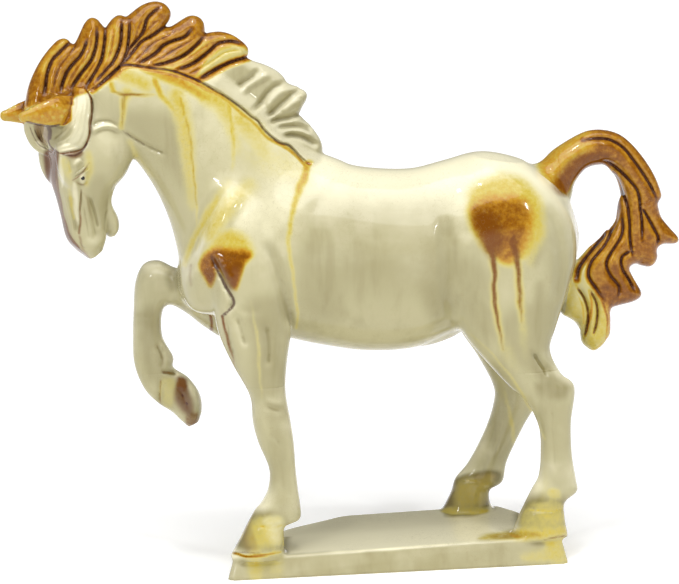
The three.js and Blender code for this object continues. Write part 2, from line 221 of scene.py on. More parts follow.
# Swellings: x, z, side, half length, half height, half width, and tilt in degrees
HEAD_SWELLINGS = [
    (-530, 726, 34, 44, 54, 33, 0),
    (-605, 711, 47, 24, 46, 24, -11),
    (-589, 698, 50, 24, 9, 14, -40),
    (-557, 562, 20, 12, 14, 12, 60),
]
BODY_SWELLINGS = [
    (-345, 500, 42, 40, 66, 56, 15),
    (-285, 560, 66, 62, 120, 60, -18),
    (215, 560, 66, 100, 120, 72, 12),
    (95, 385, 0, 46, 20, 26, -14),
]

# How softly each form runs into the clay before it, in millimetres
NECK_BLEND = 9
LEG_BLEND = 6
BODY_SWELLING_BLEND = 7
HEAD_BLEND = 5
CHIN_BLEND = 3
HEAD_SWELLING_BLEND = 3.5
EAR_BLEND = 1.6
FORELOCK_BLEND = 0.8
PLINTH_BLEND = 1.6
MANE_BLEND = 1.5
TAIL_BLEND = 4

# The head is carved facing straight ahead, then turned towards the horse's left about an upright axis.
HEAD_TURN = math.radians(18)
HEAD_TURN_AXIS = -560 * SHARE
HEAD_SECTION = 2.8
LEG_SECTION = 2.2

# The plinth's foot is the frame's lowest outline.
FOOT = np.array([v.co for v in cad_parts["horse"].data.vertices if v.co.z < FIGURE_LOW.z + 0.1 * MM])
PLINTH_LENGTH = float(np.ptp(FOOT[:, 0]))
PLINTH_WIDTH = float(np.ptp(FOOT[:, 1]))
PLINTH_CORNER_RADIUS = 5 * MM
HEAD_CORNER_CUT = 72 * MM
HEAD_CORNER_BENDS = (0.55, 0.1)
TAIL_CORNER_CUT = 17 * MM
CORNER_STEPS = 8
EDGE_STEPS = 6
HOOF_SINK = 1.5 * MM

# The field's reach, and its margins counted in cells
FAR_AWAY = 1.0
FIELD_REACH = 10 * MM
MARGIN_CELLS = 4
BAND_CELLS = 3
# The two steps of a round of smoothing, which together keep the skin from shrinking
EASING = (0.5, -0.52)
# Steps between neighbouring points of a curve and of a closed outline
CURVE_STEPS = 6
OUTLINE_STEPS = 4

# The hair's outlines in the picture, and how thick it stands to either side of the middle
MANE_SHAPE = [
    (24, 110), (25.3, 99.7), (28, 87), (33, 74), (40, 61), (48, 50), (56, 41.5), (61, 38.8), (65.5, 38.6),
    (70, 41), (73.5, 44), (76.5, 40), (80, 32.5), (84, 24), (88.5, 18.8), (93, 17.6), (97.5, 19.5),
    (101, 23.5), (105, 27.5), (108, 24), (112, 19), (117, 15.5), (121.5, 15.2), (126, 16.5), (131, 13),
    (137, 8.2), (143, 4.5), (150, 2), (157, 1.4), (164, 3.5), (169, 8.5), (171, 14), (169.5, 20),
    (166.5, 25.5), (170, 26.5), (175, 24), (182, 19.5), (188, 16.2), (194, 15.5), (200, 18), (203.7, 23),
    (204.8, 29), (205.5, 32.8), (212, 32), (220, 31.5), (229, 33.5), (238, 38), (244.5, 43.5), (248, 48.5),
    (248.3, 53), (247.5, 57.5), (253, 60.8), (261, 63.3), (269, 66.5), (277, 71), (283, 76.5),
    (286.5, 81.8), (291, 84.6), (298, 86.8), (304, 90.3), (307, 95), (305.5, 101), (302, 107), (300, 113),
    (303, 118.5), (309, 124), (315, 131.5), (320, 139.5), (322.3, 148), (321, 156), (316, 162), (308, 167),
    (296, 166), (284, 157), (272, 150), (258, 140), (246, 128), (234, 118), (220, 108), (206, 99),
    (192, 91.5), (176, 85), (160, 81), (140, 80), (126, 82), (114, 90), (100, 98), (84, 106), (64, 112),
    (44, 114), (32, 113),
]
MANE_FOOT = [
    (30, 108), (60, 104), (89, 92), (102, 83), (117, 70), (130, 64.5), (152, 67.5), (180, 73),
    (210.5, 88.5), (238, 106), (267, 133.5), (289, 146.5), (305.5, 163),
]
MANE_FOOT_DEPTH = 11 * MM
MANE_TIP_DEPTH = 6.5 * MM
MANE_REACH = 26 * MM
MANE_ROUNDING = 6 * MM
TAIL_SHAPE = [
    (532, 172), (545, 158.5), (553, 150.5), (563, 143.5), (575, 136.3), (588, 130.6), (602, 129.6),
    (617, 133.3), (629, 142), (642, 157), (652.7, 173.8), (659.4, 190.3), (660, 197), (657, 202.8),
    (657.5, 208), (660.5, 217), (668.5, 227), (676.6, 236.3), (676.5, 241.5), (672.5, 243.8), (662, 244.2),
    (656, 248.6), (656.3, 256), (653.8, 262.5), (648.5, 266.6), (641, 265.5), (634.5, 263.8),
    (628.5, 267.5), (631.5, 275), (636, 283), (640.3, 291.5), (638.5, 297.5), (632, 301.5), (624, 303.8),
    (616, 305.8), (609.8, 309), (609.5, 320), (609, 332.4), (605.5, 339), (600.5, 345.5), (593, 350.4),
    (586.5, 347), (582, 341.5), (580, 329.5), (574.5, 321.5), (567, 317), (561.4, 313), (558, 302),
    (560, 290), (563.5, 280), (569, 269), (579.4, 257.6), (589.9, 245.6), (604.8, 232.2), (615.3, 221.7),
    (618.6, 205.2), (619.8, 191.8), (615.3, 176.8), (606.3, 166.4), (597.3, 164.9), (583.9, 169.3),
    (573.4, 182.8), (570.4, 194.8), (564, 200), (550, 194),
]
TAIL_ROOT = [(540, 176), (556, 170)]
TAIL_ROOT_DEPTH = 11 * MM
TAIL_TIP_DEPTH = 9 * MM
TAIL_REACH = 30 * MM
TAIL_ROUNDING = 7.5 * MM

# Grooves between the locks of the mane, from tip to root, front to back
MANE_GROOVES = [
    [(72, 41), (62, 50), (52, 61), (47, 75), (45.5, 87), (43, 96)],
    [(88, 38), (81.6, 54), (69, 69), (63, 82), (60.5, 93)],
    [(97, 27), (96.5, 43), (91.5, 59.7), (80, 75), (70, 90)],
    [(105.5, 29), (104, 46), (101, 61), (93, 76), (85, 88)],
    [(122, 19), (120.6, 43), (113.7, 61), (106, 70), (94, 84)],
    [(130, 20), (128.2, 43), (125, 58), (115, 72), (97, 86)],
    [(161.4, 6), (152.5, 12.9), (146.6, 20), (143.6, 30.6), (137.7, 39.5), (129, 49), (121, 62)],
    [(167.5, 25), (159.4, 30.6), (150.5, 36.6), (142, 41), (136, 48), (128, 58), (120, 67)],
    [(192, 28), (185, 36.6), (174, 40.5), (163.4, 45.5), (157, 52), (147, 59), (136.7, 64.3)],
    [(205, 35), (198, 43.5), (188, 52.4), (178.2, 58.3), (165.4, 63), (150, 66)],
    [(243, 43), (228.6, 41.5), (217.7, 43.8), (208.9, 51.4), (199, 59.3), (189, 65.5), (176, 70)],
    [(248, 57), (234.6, 60.8), (221.7, 66.2), (208.9, 73.2), (198, 80)],
]
# Broad folds of the mane's back: height in millimetres (grooves negative), half width in picture points,
# and the line
MANE_FOLDS = [
    (-0.9, 5, [(262, 69), (255.8, 72.6), (251.6, 76.8), (244, 82), (236, 88)]),
    (0.7, 5, [(272, 73), (261, 79), (248, 87), (240, 95)]),
    (-1.3, 5, [(286, 82), (280, 84.5), (273.7, 87.4), (266.3, 94.7), (259, 105), (250.5, 113)]),
    (0.8, 4.5, [(294, 88), (282, 92), (274, 99), (266, 110)]),
    (-1.5, 5, [(304, 90), (298, 91.5), (290.5, 95.8), (282, 103), (271.6, 113), (264, 118)]),
    (0.7, 4.5, [(303, 100), (293, 104), (282, 113)]),
    (-1.6, 5, [(302, 113.5), (288.4, 117.9), (277.9, 120), (267.4, 124)]),
    (-1.0, 4.5, [(313, 131), (301, 126.8), (288.4, 126.3), (274, 127.5)]),
    (0.7, 4, [(314, 138), (302, 132), (290, 131), (280, 132.5)]),
    (-1.1, 5, [(319, 147), (303.2, 138), (292.6, 135.5), (281, 138)]),
]
CREST_CREASE = [
    (89, 92), (102, 83), (111, 73.5), (122.9, 65.5), (136.7, 65.8), (153.5, 68.4), (165.4, 69.6),
    (177.2, 72.5), (194, 79), (202, 83), (215, 90.6), (225, 96.4), (235.7, 103.9), (243.2, 109.7),
    (250.7, 116.3), (258, 121.3), (263, 128.7), (271.4, 137), (279.7, 142.8), (288, 145.3), (293.8, 150.3),
    (298.8, 156), (305.4, 162), (311, 164.5),
]

# Grooves along the tail, from root to tip
TAIL_GROOVES = [
    [(583, 139.6), (597, 138.6), (609.3, 139.8), (622.8, 147.5), (634.7, 162), (646, 178.3), (655, 194.8),
     (657, 202)],
    [(600, 160), (608, 162), (618.3, 169.3), (630.2, 181.3), (637.7, 191.8), (640.7, 209.7), (642, 224),
     (642, 242)],
    [(614, 172), (621, 188), (627.5, 206), (629.5, 224), (630, 240), (633, 258)],
    [(640.7, 206.7), (646.7, 215.7), (653, 227), (658, 237), (657, 245)],
    [(618.5, 207), (612, 229), (604.8, 245), (591.4, 262), (588.6, 276), (596, 288), (604, 300)],
    [(622, 214), (622, 234), (611, 253), (606.3, 263.6), (610, 275), (619, 287), (617, 300)],
    [(632, 250), (622, 257), (622, 268), (629, 280), (635, 292)],
    [(607, 232), (598, 243), (588, 255), (579, 268), (577, 280)],
    [(576, 286), (584, 298), (588, 313), (586.5, 328), (584, 338)],
    [(590, 290), (596.5, 304), (597, 320), (593, 336)],
]

# The forelock's two edges, which its fine hairs run between, and the far lock's hairs
FORELOCK_OUTER = [(86, 89), (91.8, 101.5), (90.7, 118.7), (89.3, 136), (84.9, 146.2), (78, 150.8),
                  (59.7, 153.4)]
FORELOCK_INNER = [(74, 96), (70, 111), (63, 123), (57, 130), (51, 137)]
FAR_FORELOCK_HAIRS = [
    [(30, 123), (32, 133), (37, 142), (48, 149)],
    [(27, 126), (29, 136), (34, 144), (42, 149.5)],
    [(34, 125), (37.5, 134), (43, 142), (51, 149)],
]
FORELOCK_HAIRS = 4

# Fine strokes in the hair: half width in picture points and height in metres
LOCK_HAIR = (2.0, -0.5 * MM)
FORELOCK_HAIR = (3.0, -0.45 * MM)
FORELOCK_EDGE = (1.8, -1.0 * MM)
CREST_STROKE = (2.2, -1.4 * MM)
DROP_STROKE = (1.5, 0.5 * MM)
LOCK_WIDTH = 6.5
LOCK_FADE = 0.16
EVEN_POINTS = 12

# Broad carving of the body and head: height in millimetres (grooves negative), half width in picture
# points, and the line it follows
CARVING = [
    (2.0, 13, [(240, 188), (222, 220), (204, 256), (190, 292)]),
    (-1.5, 9, [(222, 186), (203, 224), (186, 262)]),
    (-1.9, 3.4, [(209, 252), (218, 269), (226, 287), (232.5, 302), (226, 314)]),
    (1.1, 4, [(214, 253), (224, 268), (232, 284)]),
    (-0.8, 3, [(226, 317), (230, 342), (235, 358)]),
    (-2.2, 9, [(268, 240), (279, 275), (286, 305), (291, 332)]),
    (-0.4, 6, [(238, 309), (250, 312), (262, 310)]),
    (-1.2, 5, [(236, 314), (241, 330), (246, 348)]),
    (-1.2, 6, [(266, 322), (269, 345), (268, 368)]),
    (-2.0, 13, [(446, 214), (447, 250), (450, 290), (458, 324)]),
    (1.2, 13, [(466, 230), (470, 270), (480, 316)]),
    (-1.1, 9, [(546, 200), (556, 236), (560, 272), (552, 310)]),
    (-1.2, 2.8, [(121, 129), (131, 136.5), (147, 146), (168, 155)]),
    (-1.1, 3.5, [(532, 352), (540, 365), (548, 378)]),
    (0.7, 5, [(268, 438), (276, 446), (284, 462)]),
    (-0.6, 4, [(262, 398), (270, 408), (282, 412)]),
    (-0.8, 2.2, [(251, 528), (262, 526), (276, 527), (286, 524)]),
    (-0.8, 2.2, [(521, 512), (536, 510), (552, 511), (566, 508)]),
    (-0.7, 2.2, [(457, 482), (470, 480), (486, 484), (494, 487)]),
    (-1.2, 2.6, [(161, 379), (160, 390), (160, 403)]),
    (-1.3, 3.0, [(161, 372), (168, 373), (177, 375)]),
    (-1.0, 3.0, [(156, 343), (162, 358), (160.5, 370)]),
    (0.7, 3.0, [(160, 343), (166, 356), (166, 366)]),
    (-0.35, 1.6, [(133, 315.5), (147, 316.5), (162, 315)]),
    (-1.0, 5, [(178, 386), (184, 398), (188, 410)]),
    (-0.9, 4, [(533, 350), (541, 364), (554, 374)]),
    (-0.7, 6, [(275, 430), (281, 468), (284, 500)]),
    (0.6, 5, [(262, 400), (270, 404), (284, 405)]),
    (-0.7, 5, [(552, 400), (553, 440), (556, 476)]),
    (-0.6, 5, [(505, 392), (500, 424), (490, 456)]),
]
# Drops of glaze that stand up on the ear and at the mane's foot
DROPS = [
    (42, 116), (53, 117.5), (62.5, 116.5), (66, 110), (40, 104), (31, 108), (53, 106), (60, 101),
    (49.5, 92), (56, 95), (64, 91), (70, 90), (75, 88), (84, 87), (9, 108), (14, 106), (19, 104),
    (529, 529), (534, 530), (541, 530.5), (548, 529), (555, 528), (561, 528), (254, 551), (259, 549),
    (265, 550.5), (270, 548), (275, 549), (280, 546.5), (257, 513), (262, 514.5), (166, 377), (169, 378.5),
    (172, 377), (195, 420), (192, 423),
]
HEAD_CARVING = [
    (-0.8, 1.5, [(73.4, 178.4), (77, 175.6), (80.3, 173.8), (85, 171), (89, 166)]),
    (-0.5, 1.3, [(73, 174.5), (78, 171.2), (83, 167.5), (86.5, 164)]),
    (0.9, 4.5, [(74, 168), (78, 163), (82, 160)]),
    (-0.7, 3, [(69, 158), (69.5, 166), (71, 174)]),
    (0.8, 4.2, [(81.5, 179), (84.5, 177.5)]),
    (-0.55, 1.6, [(76, 181), (79, 184), (84, 184.3), (88, 181)]),
    (-1.0, 1.4, [(81, 186), (81, 198), (80.2, 207), (79, 218), (78, 231)]),
    (-1.3, 4.6, [(70, 192), (73, 206), (76, 220), (78, 236)]),
    (0.7, 3.4, [(64, 190), (67, 204), (71, 220), (75, 236)]),
    (0.9, 3.6, [(84, 192), (87, 206), (90, 222), (93, 240)]),
    (-0.7, 3, [(90, 196), (95, 212), (99, 230)]),
    (-0.3, 1.8, [(106.5, 237), (104.8, 228), (105.5, 216), (108, 208)]),
    (-0.5, 1.8, [(79, 240), (82, 246), (87, 249)]),
    (1.0, 3.6, [(91, 134), (97, 129), (105, 126.5), (113, 127.5), (121, 131.5)]),
    (-0.7, 3, [(91, 127), (99, 121.5), (110, 121), (120, 125)]),
]
# Stain on mane and tail: outline, strength from 0, cream, to 1, brown, and softness of its edge. Later
# patches lie over earlier ones.
HAIR_PATCHES = [
    ([(14, 112), (22, 80), (44, 40), (64, 30), (80, 20), (95, 8), (118, 6), (155, -6), (178, 6), (202, 8),
      (212, 24), (240, 30), (256, 48), (250, 60), (226, 70), (202, 82), (186, 78), (166, 68), (130, 68),
      (117, 78), (100, 86), (88, 93), (74, 98), (72, 106), (45, 104), (20, 112)], 0.76, 2.5),
    ([(28, 92), (34, 74), (44, 60), (50, 63), (46, 82), (44, 98), (30, 104)], 0.78, 4),
    ([(40, 66), (50, 52), (62, 42), (68, 44), (58, 52), (50, 64), (44, 74)], 0.58, 4),
    ([(80, 66), (90, 54), (96, 34), (99, 40), (97, 56), (88, 68), (76, 82)], 0.58, 3),
    ([(107, 42), (110, 26), (119, 20), (119, 42), (112, 58), (105, 62)], 0.6, 3),
    ([(166, 60), (186, 50), (203, 38), (208, 44), (190, 62), (172, 70), (148, 66)], 0.54, 3),
    ([(186, 56), (200, 50), (214, 38), (236, 36), (226, 42), (212, 46), (200, 60), (184, 66)], 0.66, 3),
    ([(196, 78), (206, 60), (222, 48), (240, 45), (249, 52), (246, 57), (228, 63), (212, 70)], 0.34, 3),
    ([(576, 124), (602, 118), (644, 136), (672, 188), (672, 214), (690, 240), (676, 260), (664, 258),
      (664, 274), (640, 276), (650, 292), (642, 310), (616, 314), (614, 346), (600, 346), (592, 300),
      (586, 276), (578, 268), (590, 244), (604, 226), (608, 200), (600, 180), (590, 170), (580, 160)],
     0.8, 3),
    ([(536, 158), (578, 128), (590, 128), (594, 150), (580, 162), (562, 182), (552, 188)], 0.56, 6),
    ([(586, 138), (602, 136), (620, 144), (640, 166), (656, 196), (650, 200), (634, 172), (616, 152),
      (600, 146)], 0.84, 3),
    ([(556, 184), (567, 170), (578, 159), (592, 153), (606, 156), (612, 164), (600, 166), (586, 170),
      (574, 182), (566, 194)], 0.84, 3),
    ([(597, 262), (610, 260), (626, 268), (634, 280), (644, 292), (632, 304), (612, 308), (600, 302),
      (590, 286)], 0.86, 4),
    ([(618, 262), (604, 268), (606, 280), (596, 288), (590, 276), (596, 262), (608, 248)], 0.7, 3),
    ([(556, 322), (556, 286), (572, 262), (584, 262), (592, 286), (604, 306), (608, 336), (592, 354),
      (578, 342)], 0.24, 4),
    ([(558, 314), (560, 286), (568, 278), (576, 296), (580, 320)], 0.36, 4),
    ([(583, 300), (604, 300), (608, 332), (594, 350), (584, 336)], 0.42, 7),
]
HAIR_RUNS = [
    ([(589, 290), (592, 306), (589, 322), (586, 336)], [2.5, 4, 4, 2.5], [0.5, 0.8, 0.85, 0.6]),
    ([(576, 292), (583, 306), (584, 324)], [2, 3.5, 3], [0.3, 0.6, 0.6]),
    ([(596, 292), (604, 306), (608, 322), (606, 340)], [4, 4.5, 3.5, 3], [0.8, 0.8, 0.7, 0.6]),
    ([(580, 341), (592, 350), (604, 342)], [3, 3, 3], [0.4, 0.5, 0.5]),
    ([(594, 244), (606, 236), (616, 226)], [4, 4, 3], [0.5, 0.6, 0.7]),
]
# The brown along the grooves between locks, partly glaze gathered there and partly painted shade in the
# grooves, and its narrower, paler band in the last two grooves of the tail
BAND_CORE = 0.5
BAND_EDGE = 7.4
GROOVE_STAIN_AND_SHADE = 0.9
PALE_TUFT_GROOVES = 2
PALE_TUFT_EDGE = BAND_EDGE * 0.6
PALE_TUFT_STAIN = GROOVE_STAIN_AND_SHADE * 0.5
EAR_STAIN = 0.62

# Runs of glaze down the body: the line, its half widths along it and its strengths along it
BODY_RUNS = [
    ([(92, 93), (117, 73), (130, 68), (152, 70), (178, 76), (198, 84), (226, 101), (252, 121), (269, 138),
      (289, 150), (306, 166)], [4, 5, 5, 6, 5, 4, 4, 4], [0.7, 0.7, 0.8, 0.76, 0.62, 0.6, 0.65, 0.7]),
    ([(142, 70), (166, 76), (190, 88), (210, 100), (222, 110)], [6, 12, 14, 12, 8],
     [0.4, 0.56, 0.56, 0.48, 0.3]),
    ([(110, 76), (113, 90)], [7, 6], [0.5, 0.5]),
    ([(111, 91), (124, 93.5), (140, 94.5), (154, 94)], [4, 4.5, 4.5, 4], [0.4, 0.5, 0.46, 0.3]),
    ([(126, 92), (124, 104), (122, 128)], [8, 5, 4], [0.4, 0.42, 0.36]),
    ([(155, 80), (160, 94), (170, 106), (180, 122)], [7, 6, 8, 8], [0.56, 0.48, 0.38, 0.3]),
    ([(112, 70), (130, 78), (146, 84)], [8, 11, 11], [0.42, 0.4, 0.4]),
    ([(176, 96), (184, 124), (188, 160), (193, 206)], [14, 12, 11, 8], [0.4, 0.36, 0.32, 0.24]),
    ([(181, 100), (190, 140), (193, 168), (197, 206), (196, 224)], [5, 4, 4, 3.6, 3],
     [0.5, 0.44, 0.42, 0.4, 0.2]),
    ([(206, 96), (222, 106), (232, 128), (238, 150)], [12, 14, 12, 12], [0.44, 0.38, 0.3, 0.2]),
    ([(229, 106), (233, 136), (232, 170)], [4, 3.5, 3], [0.45, 0.42, 0.2]),
    ([(240, 118), (256, 136), (266, 156)], [14, 18, 16], [0.38, 0.32, 0.26]),
    ([(242, 150), (262, 158), (290, 166), (304, 176)], [20, 28, 26, 16], [0.14, 0.2, 0.22, 0.2]),
    ([(309, 164), (303, 180), (297, 196), (292, 217), (289, 240), (291, 263), (294.5, 289), (297.5, 312),
      (297, 328)], [8, 9, 7, 6, 5, 5, 4, 4, 4], [0.62, 0.54, 0.46, 0.42, 0.36, 0.33, 0.3, 0.34, 0.3]),
    ([(228, 184), (206, 217), (191, 245), (184, 265)], [9, 7, 5, 4], [0.2, 0.34, 0.34, 0.26]),
    ([(250, 186), (222, 214), (210, 232)], [14, 16, 14], [0.26, 0.34, 0.38]),
    ([(252, 300), (258, 342), (260, 366), (262, 398)], [2, 3, 3, 2.4], [0.12, 0.24, 0.24, 0.14]),
    ([(493, 258), (495, 275), (494, 290), (498, 323), (503, 350)], [7, 6, 6, 6, 5],
     [0.36, 0.36, 0.36, 0.36, 0.24]),
    ([(518, 264), (519, 285), (520, 304), (522, 320)], [7, 6, 6, 6], [0.4, 0.4, 0.4, 0.3]),
    ([(500, 250), (502, 266)], [8, 5], [0.5, 0.2]),
    ([(500, 330), (505, 348), (514, 368)], [8, 12, 10], [0.1, 0.18, 0.12]),
    ([(522, 300), (523, 330), (524, 356)], [6, 8, 7], [0.2, 0.22, 0.1]),
    ([(534, 206), (537, 230), (530, 262)], [12, 12, 8], [0.4, 0.42, 0.2]),
    ([(466, 330), (490, 352), (520, 390), (545, 440)], [2, 2.4, 2.4, 2.4], [0.14, 0.22, 0.26, 0.2]),
    ([(505, 392), (511, 420), (515, 452)], [3, 4, 3], [0.16, 0.28, 0.2]),
    ([(129, 142), (139, 160), (150, 176)], [5, 5, 5], [0.22, 0.24, 0.2]),
    ([(88, 154), (90, 168), (87, 184)], [6, 7, 5], [0.26, 0.3, 0.22]),
    ([(64, 160), (67, 172), (70, 186)], [6, 6, 5], [0.28, 0.28, 0.16]),
    ([(69, 188), (71, 204), (73, 218)], [3.5, 4, 3], [0.2, 0.26, 0.2]),
    ([(544, 470), (546, 492), (540, 512)], [7, 8, 7], [0.1, 0.16, 0.16]),
    ([(246, 520), (240, 536)], [2.5, 3], [0.3, 0.4]),
    ([(232, 552), (245, 556), (262, 556), (280, 552)], [2.5, 3, 3, 2.5], [0.7, 0.78, 0.7, 0.5]),
    ([(283, 527), (283, 545)], [2, 2], [0.3, 0.4]),
]
BODY_PATCHES = [
    ([(205, 256), (211, 236), (228, 228), (248, 236), (254, 250), (248, 258), (230, 258), (212, 260)],
     0.42, 9),
    ([(206, 252), (218, 248), (244, 251), (251, 255), (243, 270), (236, 290), (226, 280), (218, 270),
      (211, 288), (203, 277), (198, 263)], 0.82, 4.5),
    ([(466, 198), (478, 180), (504, 173), (528, 180), (543, 200), (544, 226), (536, 252), (520, 262),
      (500, 256), (482, 246), (470, 226)], 0.42, 10),
    ([(470, 212), (484, 200), (506, 197), (526, 204), (530, 226), (522, 250), (512, 264), (497, 260),
      (486, 246)], 0.74, 10),
    ([(246, 522), (262, 513), (284, 518), (284, 547), (262, 550), (246, 546)], 0.24, 7),
    ([(252, 528), (262, 520), (270, 530), (272, 548), (256, 549)], 0.34, 6),
    ([(247, 552), (282, 550), (282, 584), (249, 585)], 0.18, 6),
    ([(250, 553), (260, 552), (261, 584), (251, 585)], 0.3, 4),
    ([(271, 552), (280, 552), (280, 584), (272, 585)], 0.2, 4),
    ([(478, 538), (492, 532), (520, 529), (546, 528), (567, 529), (568, 536), (540, 541), (492, 541)],
     0.42, 4),
    ([(522, 526), (544, 524), (568, 526), (568, 533), (540, 536), (520, 533)], 0.5, 3),
    ([(520, 553), (545, 548), (566, 546), (566, 562), (530, 565)], 0.26, 7),
    ([(545, 538), (568, 536), (570, 562), (552, 562)], 0.32, 5),
    ([(522, 507), (544, 500), (566, 504), (566, 528), (520, 529)], 0.24, 7),
    ([(540, 508), (560, 506), (562, 520), (544, 524)], 0.32, 6),
    ([(547, 489), (560, 489), (561, 498), (550, 500)], 0.3, 4),
    ([(444, 508), (470, 507), (488, 508), (484, 514), (446, 514)], 0.34, 3),
    ([(456, 484), (470, 476), (492, 474), (494, 482), (482, 506), (456, 508)], 0.3, 7),
    ([(160, 378), (176, 378), (178, 396), (170, 410), (160, 404)], 0.22, 5),
]
# Olive glaze and painted shade: the hooves' own olive, and darker olive laid as painted shade on the barrel,
# flank, legs, hock, neck, cheek, plinth face and the mane's folds; below 0, painted highlight in ivory on
# ridges of the face, on the forelock and on the front hoof
OLIVE_SHADE_AND_HIGHLIGHT_PATCHES = [
    ([(322, 205), (380, 196), (450, 200), (462, 262), (400, 292), (322, 280)], 0.36, 26),
    ([(236, 518), (262, 510), (284, 518), (284, 548), (238, 550)], 0.9, 6),
    ([(524, 500), (566, 498), (568, 530), (520, 530)], 0.95, 7),
    ([(446, 486), (470, 476), (494, 474), (484, 508), (444, 510)], 1.0, 5),
    ([(160, 376), (176, 376), (178, 396), (170, 410), (158, 404)], 0.4, 5),
    ([(76, 94), (90, 96), (90, 130), (84, 146), (60, 152), (52, 142), (66, 128)], -0.45, 3),
    ([(72, 184), (77, 186), (79, 206), (78, 226), (74, 212)], -0.5, 2),
    ([(58.5, 160), (62, 158), (64, 180), (61, 188)], -0.5, 1.6),
    ([(78.5, 176), (82, 173.5), (86.5, 175), (87, 180), (83, 183.5), (79, 181.5)], -0.5, 1.6),
    ([(166, 271), (178, 272), (178, 288), (168, 290)], 0.5, 4),
    ([(163, 370), (176, 371), (175, 376), (164, 376)], 0.6, 2),
    ([(264, 520), (282, 518), (283, 540), (272, 544)], -0.4, 4),
    ([(212, 92), (250, 60), (285, 76), (310, 92), (302, 113), (322, 148), (310, 166), (262, 122)], 0.3, 4),
    ([(445, 515), (451, 488), (462, 476), (498, 471), (499, 482), (485, 488), (486, 512)], 0.95, 3),
    ([(222, 584), (232, 559), (400, 549), (570, 535), (578, 567)], 0.45, 2),
    ([(50, 122), (72, 118), (70, 134), (60, 148), (50, 146), (47, 138)], 0.5, 4),
    ([(266, 402), (286, 402), (288, 420), (270, 424)], 0.4, 6),
    ([(270, 430), (284, 430), (288, 506), (274, 506)], 0.3, 6),
    ([(536, 384), (560, 380), (564, 396), (546, 400)], 0.7, 6),
    ([(530, 350), (538, 352), (554, 372), (548, 378), (534, 366)], 0.6, 3),
    ([(248, 300), (286, 300), (284, 340), (288, 390), (258, 396), (252, 350)], 0.42, 10),
    ([(128, 112), (172, 116), (186, 150), (190, 196), (160, 160), (134, 134)], 0.3, 10),
    ([(462, 262), (486, 270), (500, 330), (486, 340), (466, 316)], 0.3, 10),
    ([(546, 210), (566, 216), (570, 290), (552, 306)], 0.3, 10),
    ([(500, 320), (556, 300), (562, 356), (540, 376), (516, 364)], 0.35, 10),
    ([(136, 318), (156, 312), (164, 372), (148, 376)], 0.36, 8),
    ([(488, 366), (514, 376), (510, 448), (492, 456)], 0.3, 8),
    ([(540, 396), (568, 396), (568, 486), (546, 486)], 0.22, 8),
    ([(306, 206), (334, 214), (342, 300), (332, 322), (300, 300)], 0.3, 12),
    ([(430, 206), (452, 214), (460, 300), (440, 330), (428, 300)], 0.26, 12),
    ([(90, 182), (104, 176), (108, 206), (100, 240), (88, 220)], 0.25, 6),
    ([(248, 96), (262, 82), (270, 92), (258, 108)], 0.3, 6),
    ([(268, 116), (288, 104), (290, 116), (274, 124)], 0.3, 6),
    ([(286, 140), (304, 128), (308, 142), (296, 148)], 0.25, 6),
    ([(261, 320), (268, 320), (269, 338), (263, 340)], 0.5, 5),
    ([(424, 216), (446, 220), (449, 300), (432, 312), (418, 282)], 0.45, 12),
    ([(530, 350), (540, 362), (554, 375), (571, 384), (566, 397), (552, 398), (545, 384), (533, 370)],
     0.6, 5),
    ([(528, 212), (545, 210), (543, 250), (532, 262)], 0.5, 6),
    ([(536, 288), (545, 286), (543, 330), (537, 340)], 0.4, 6),
]
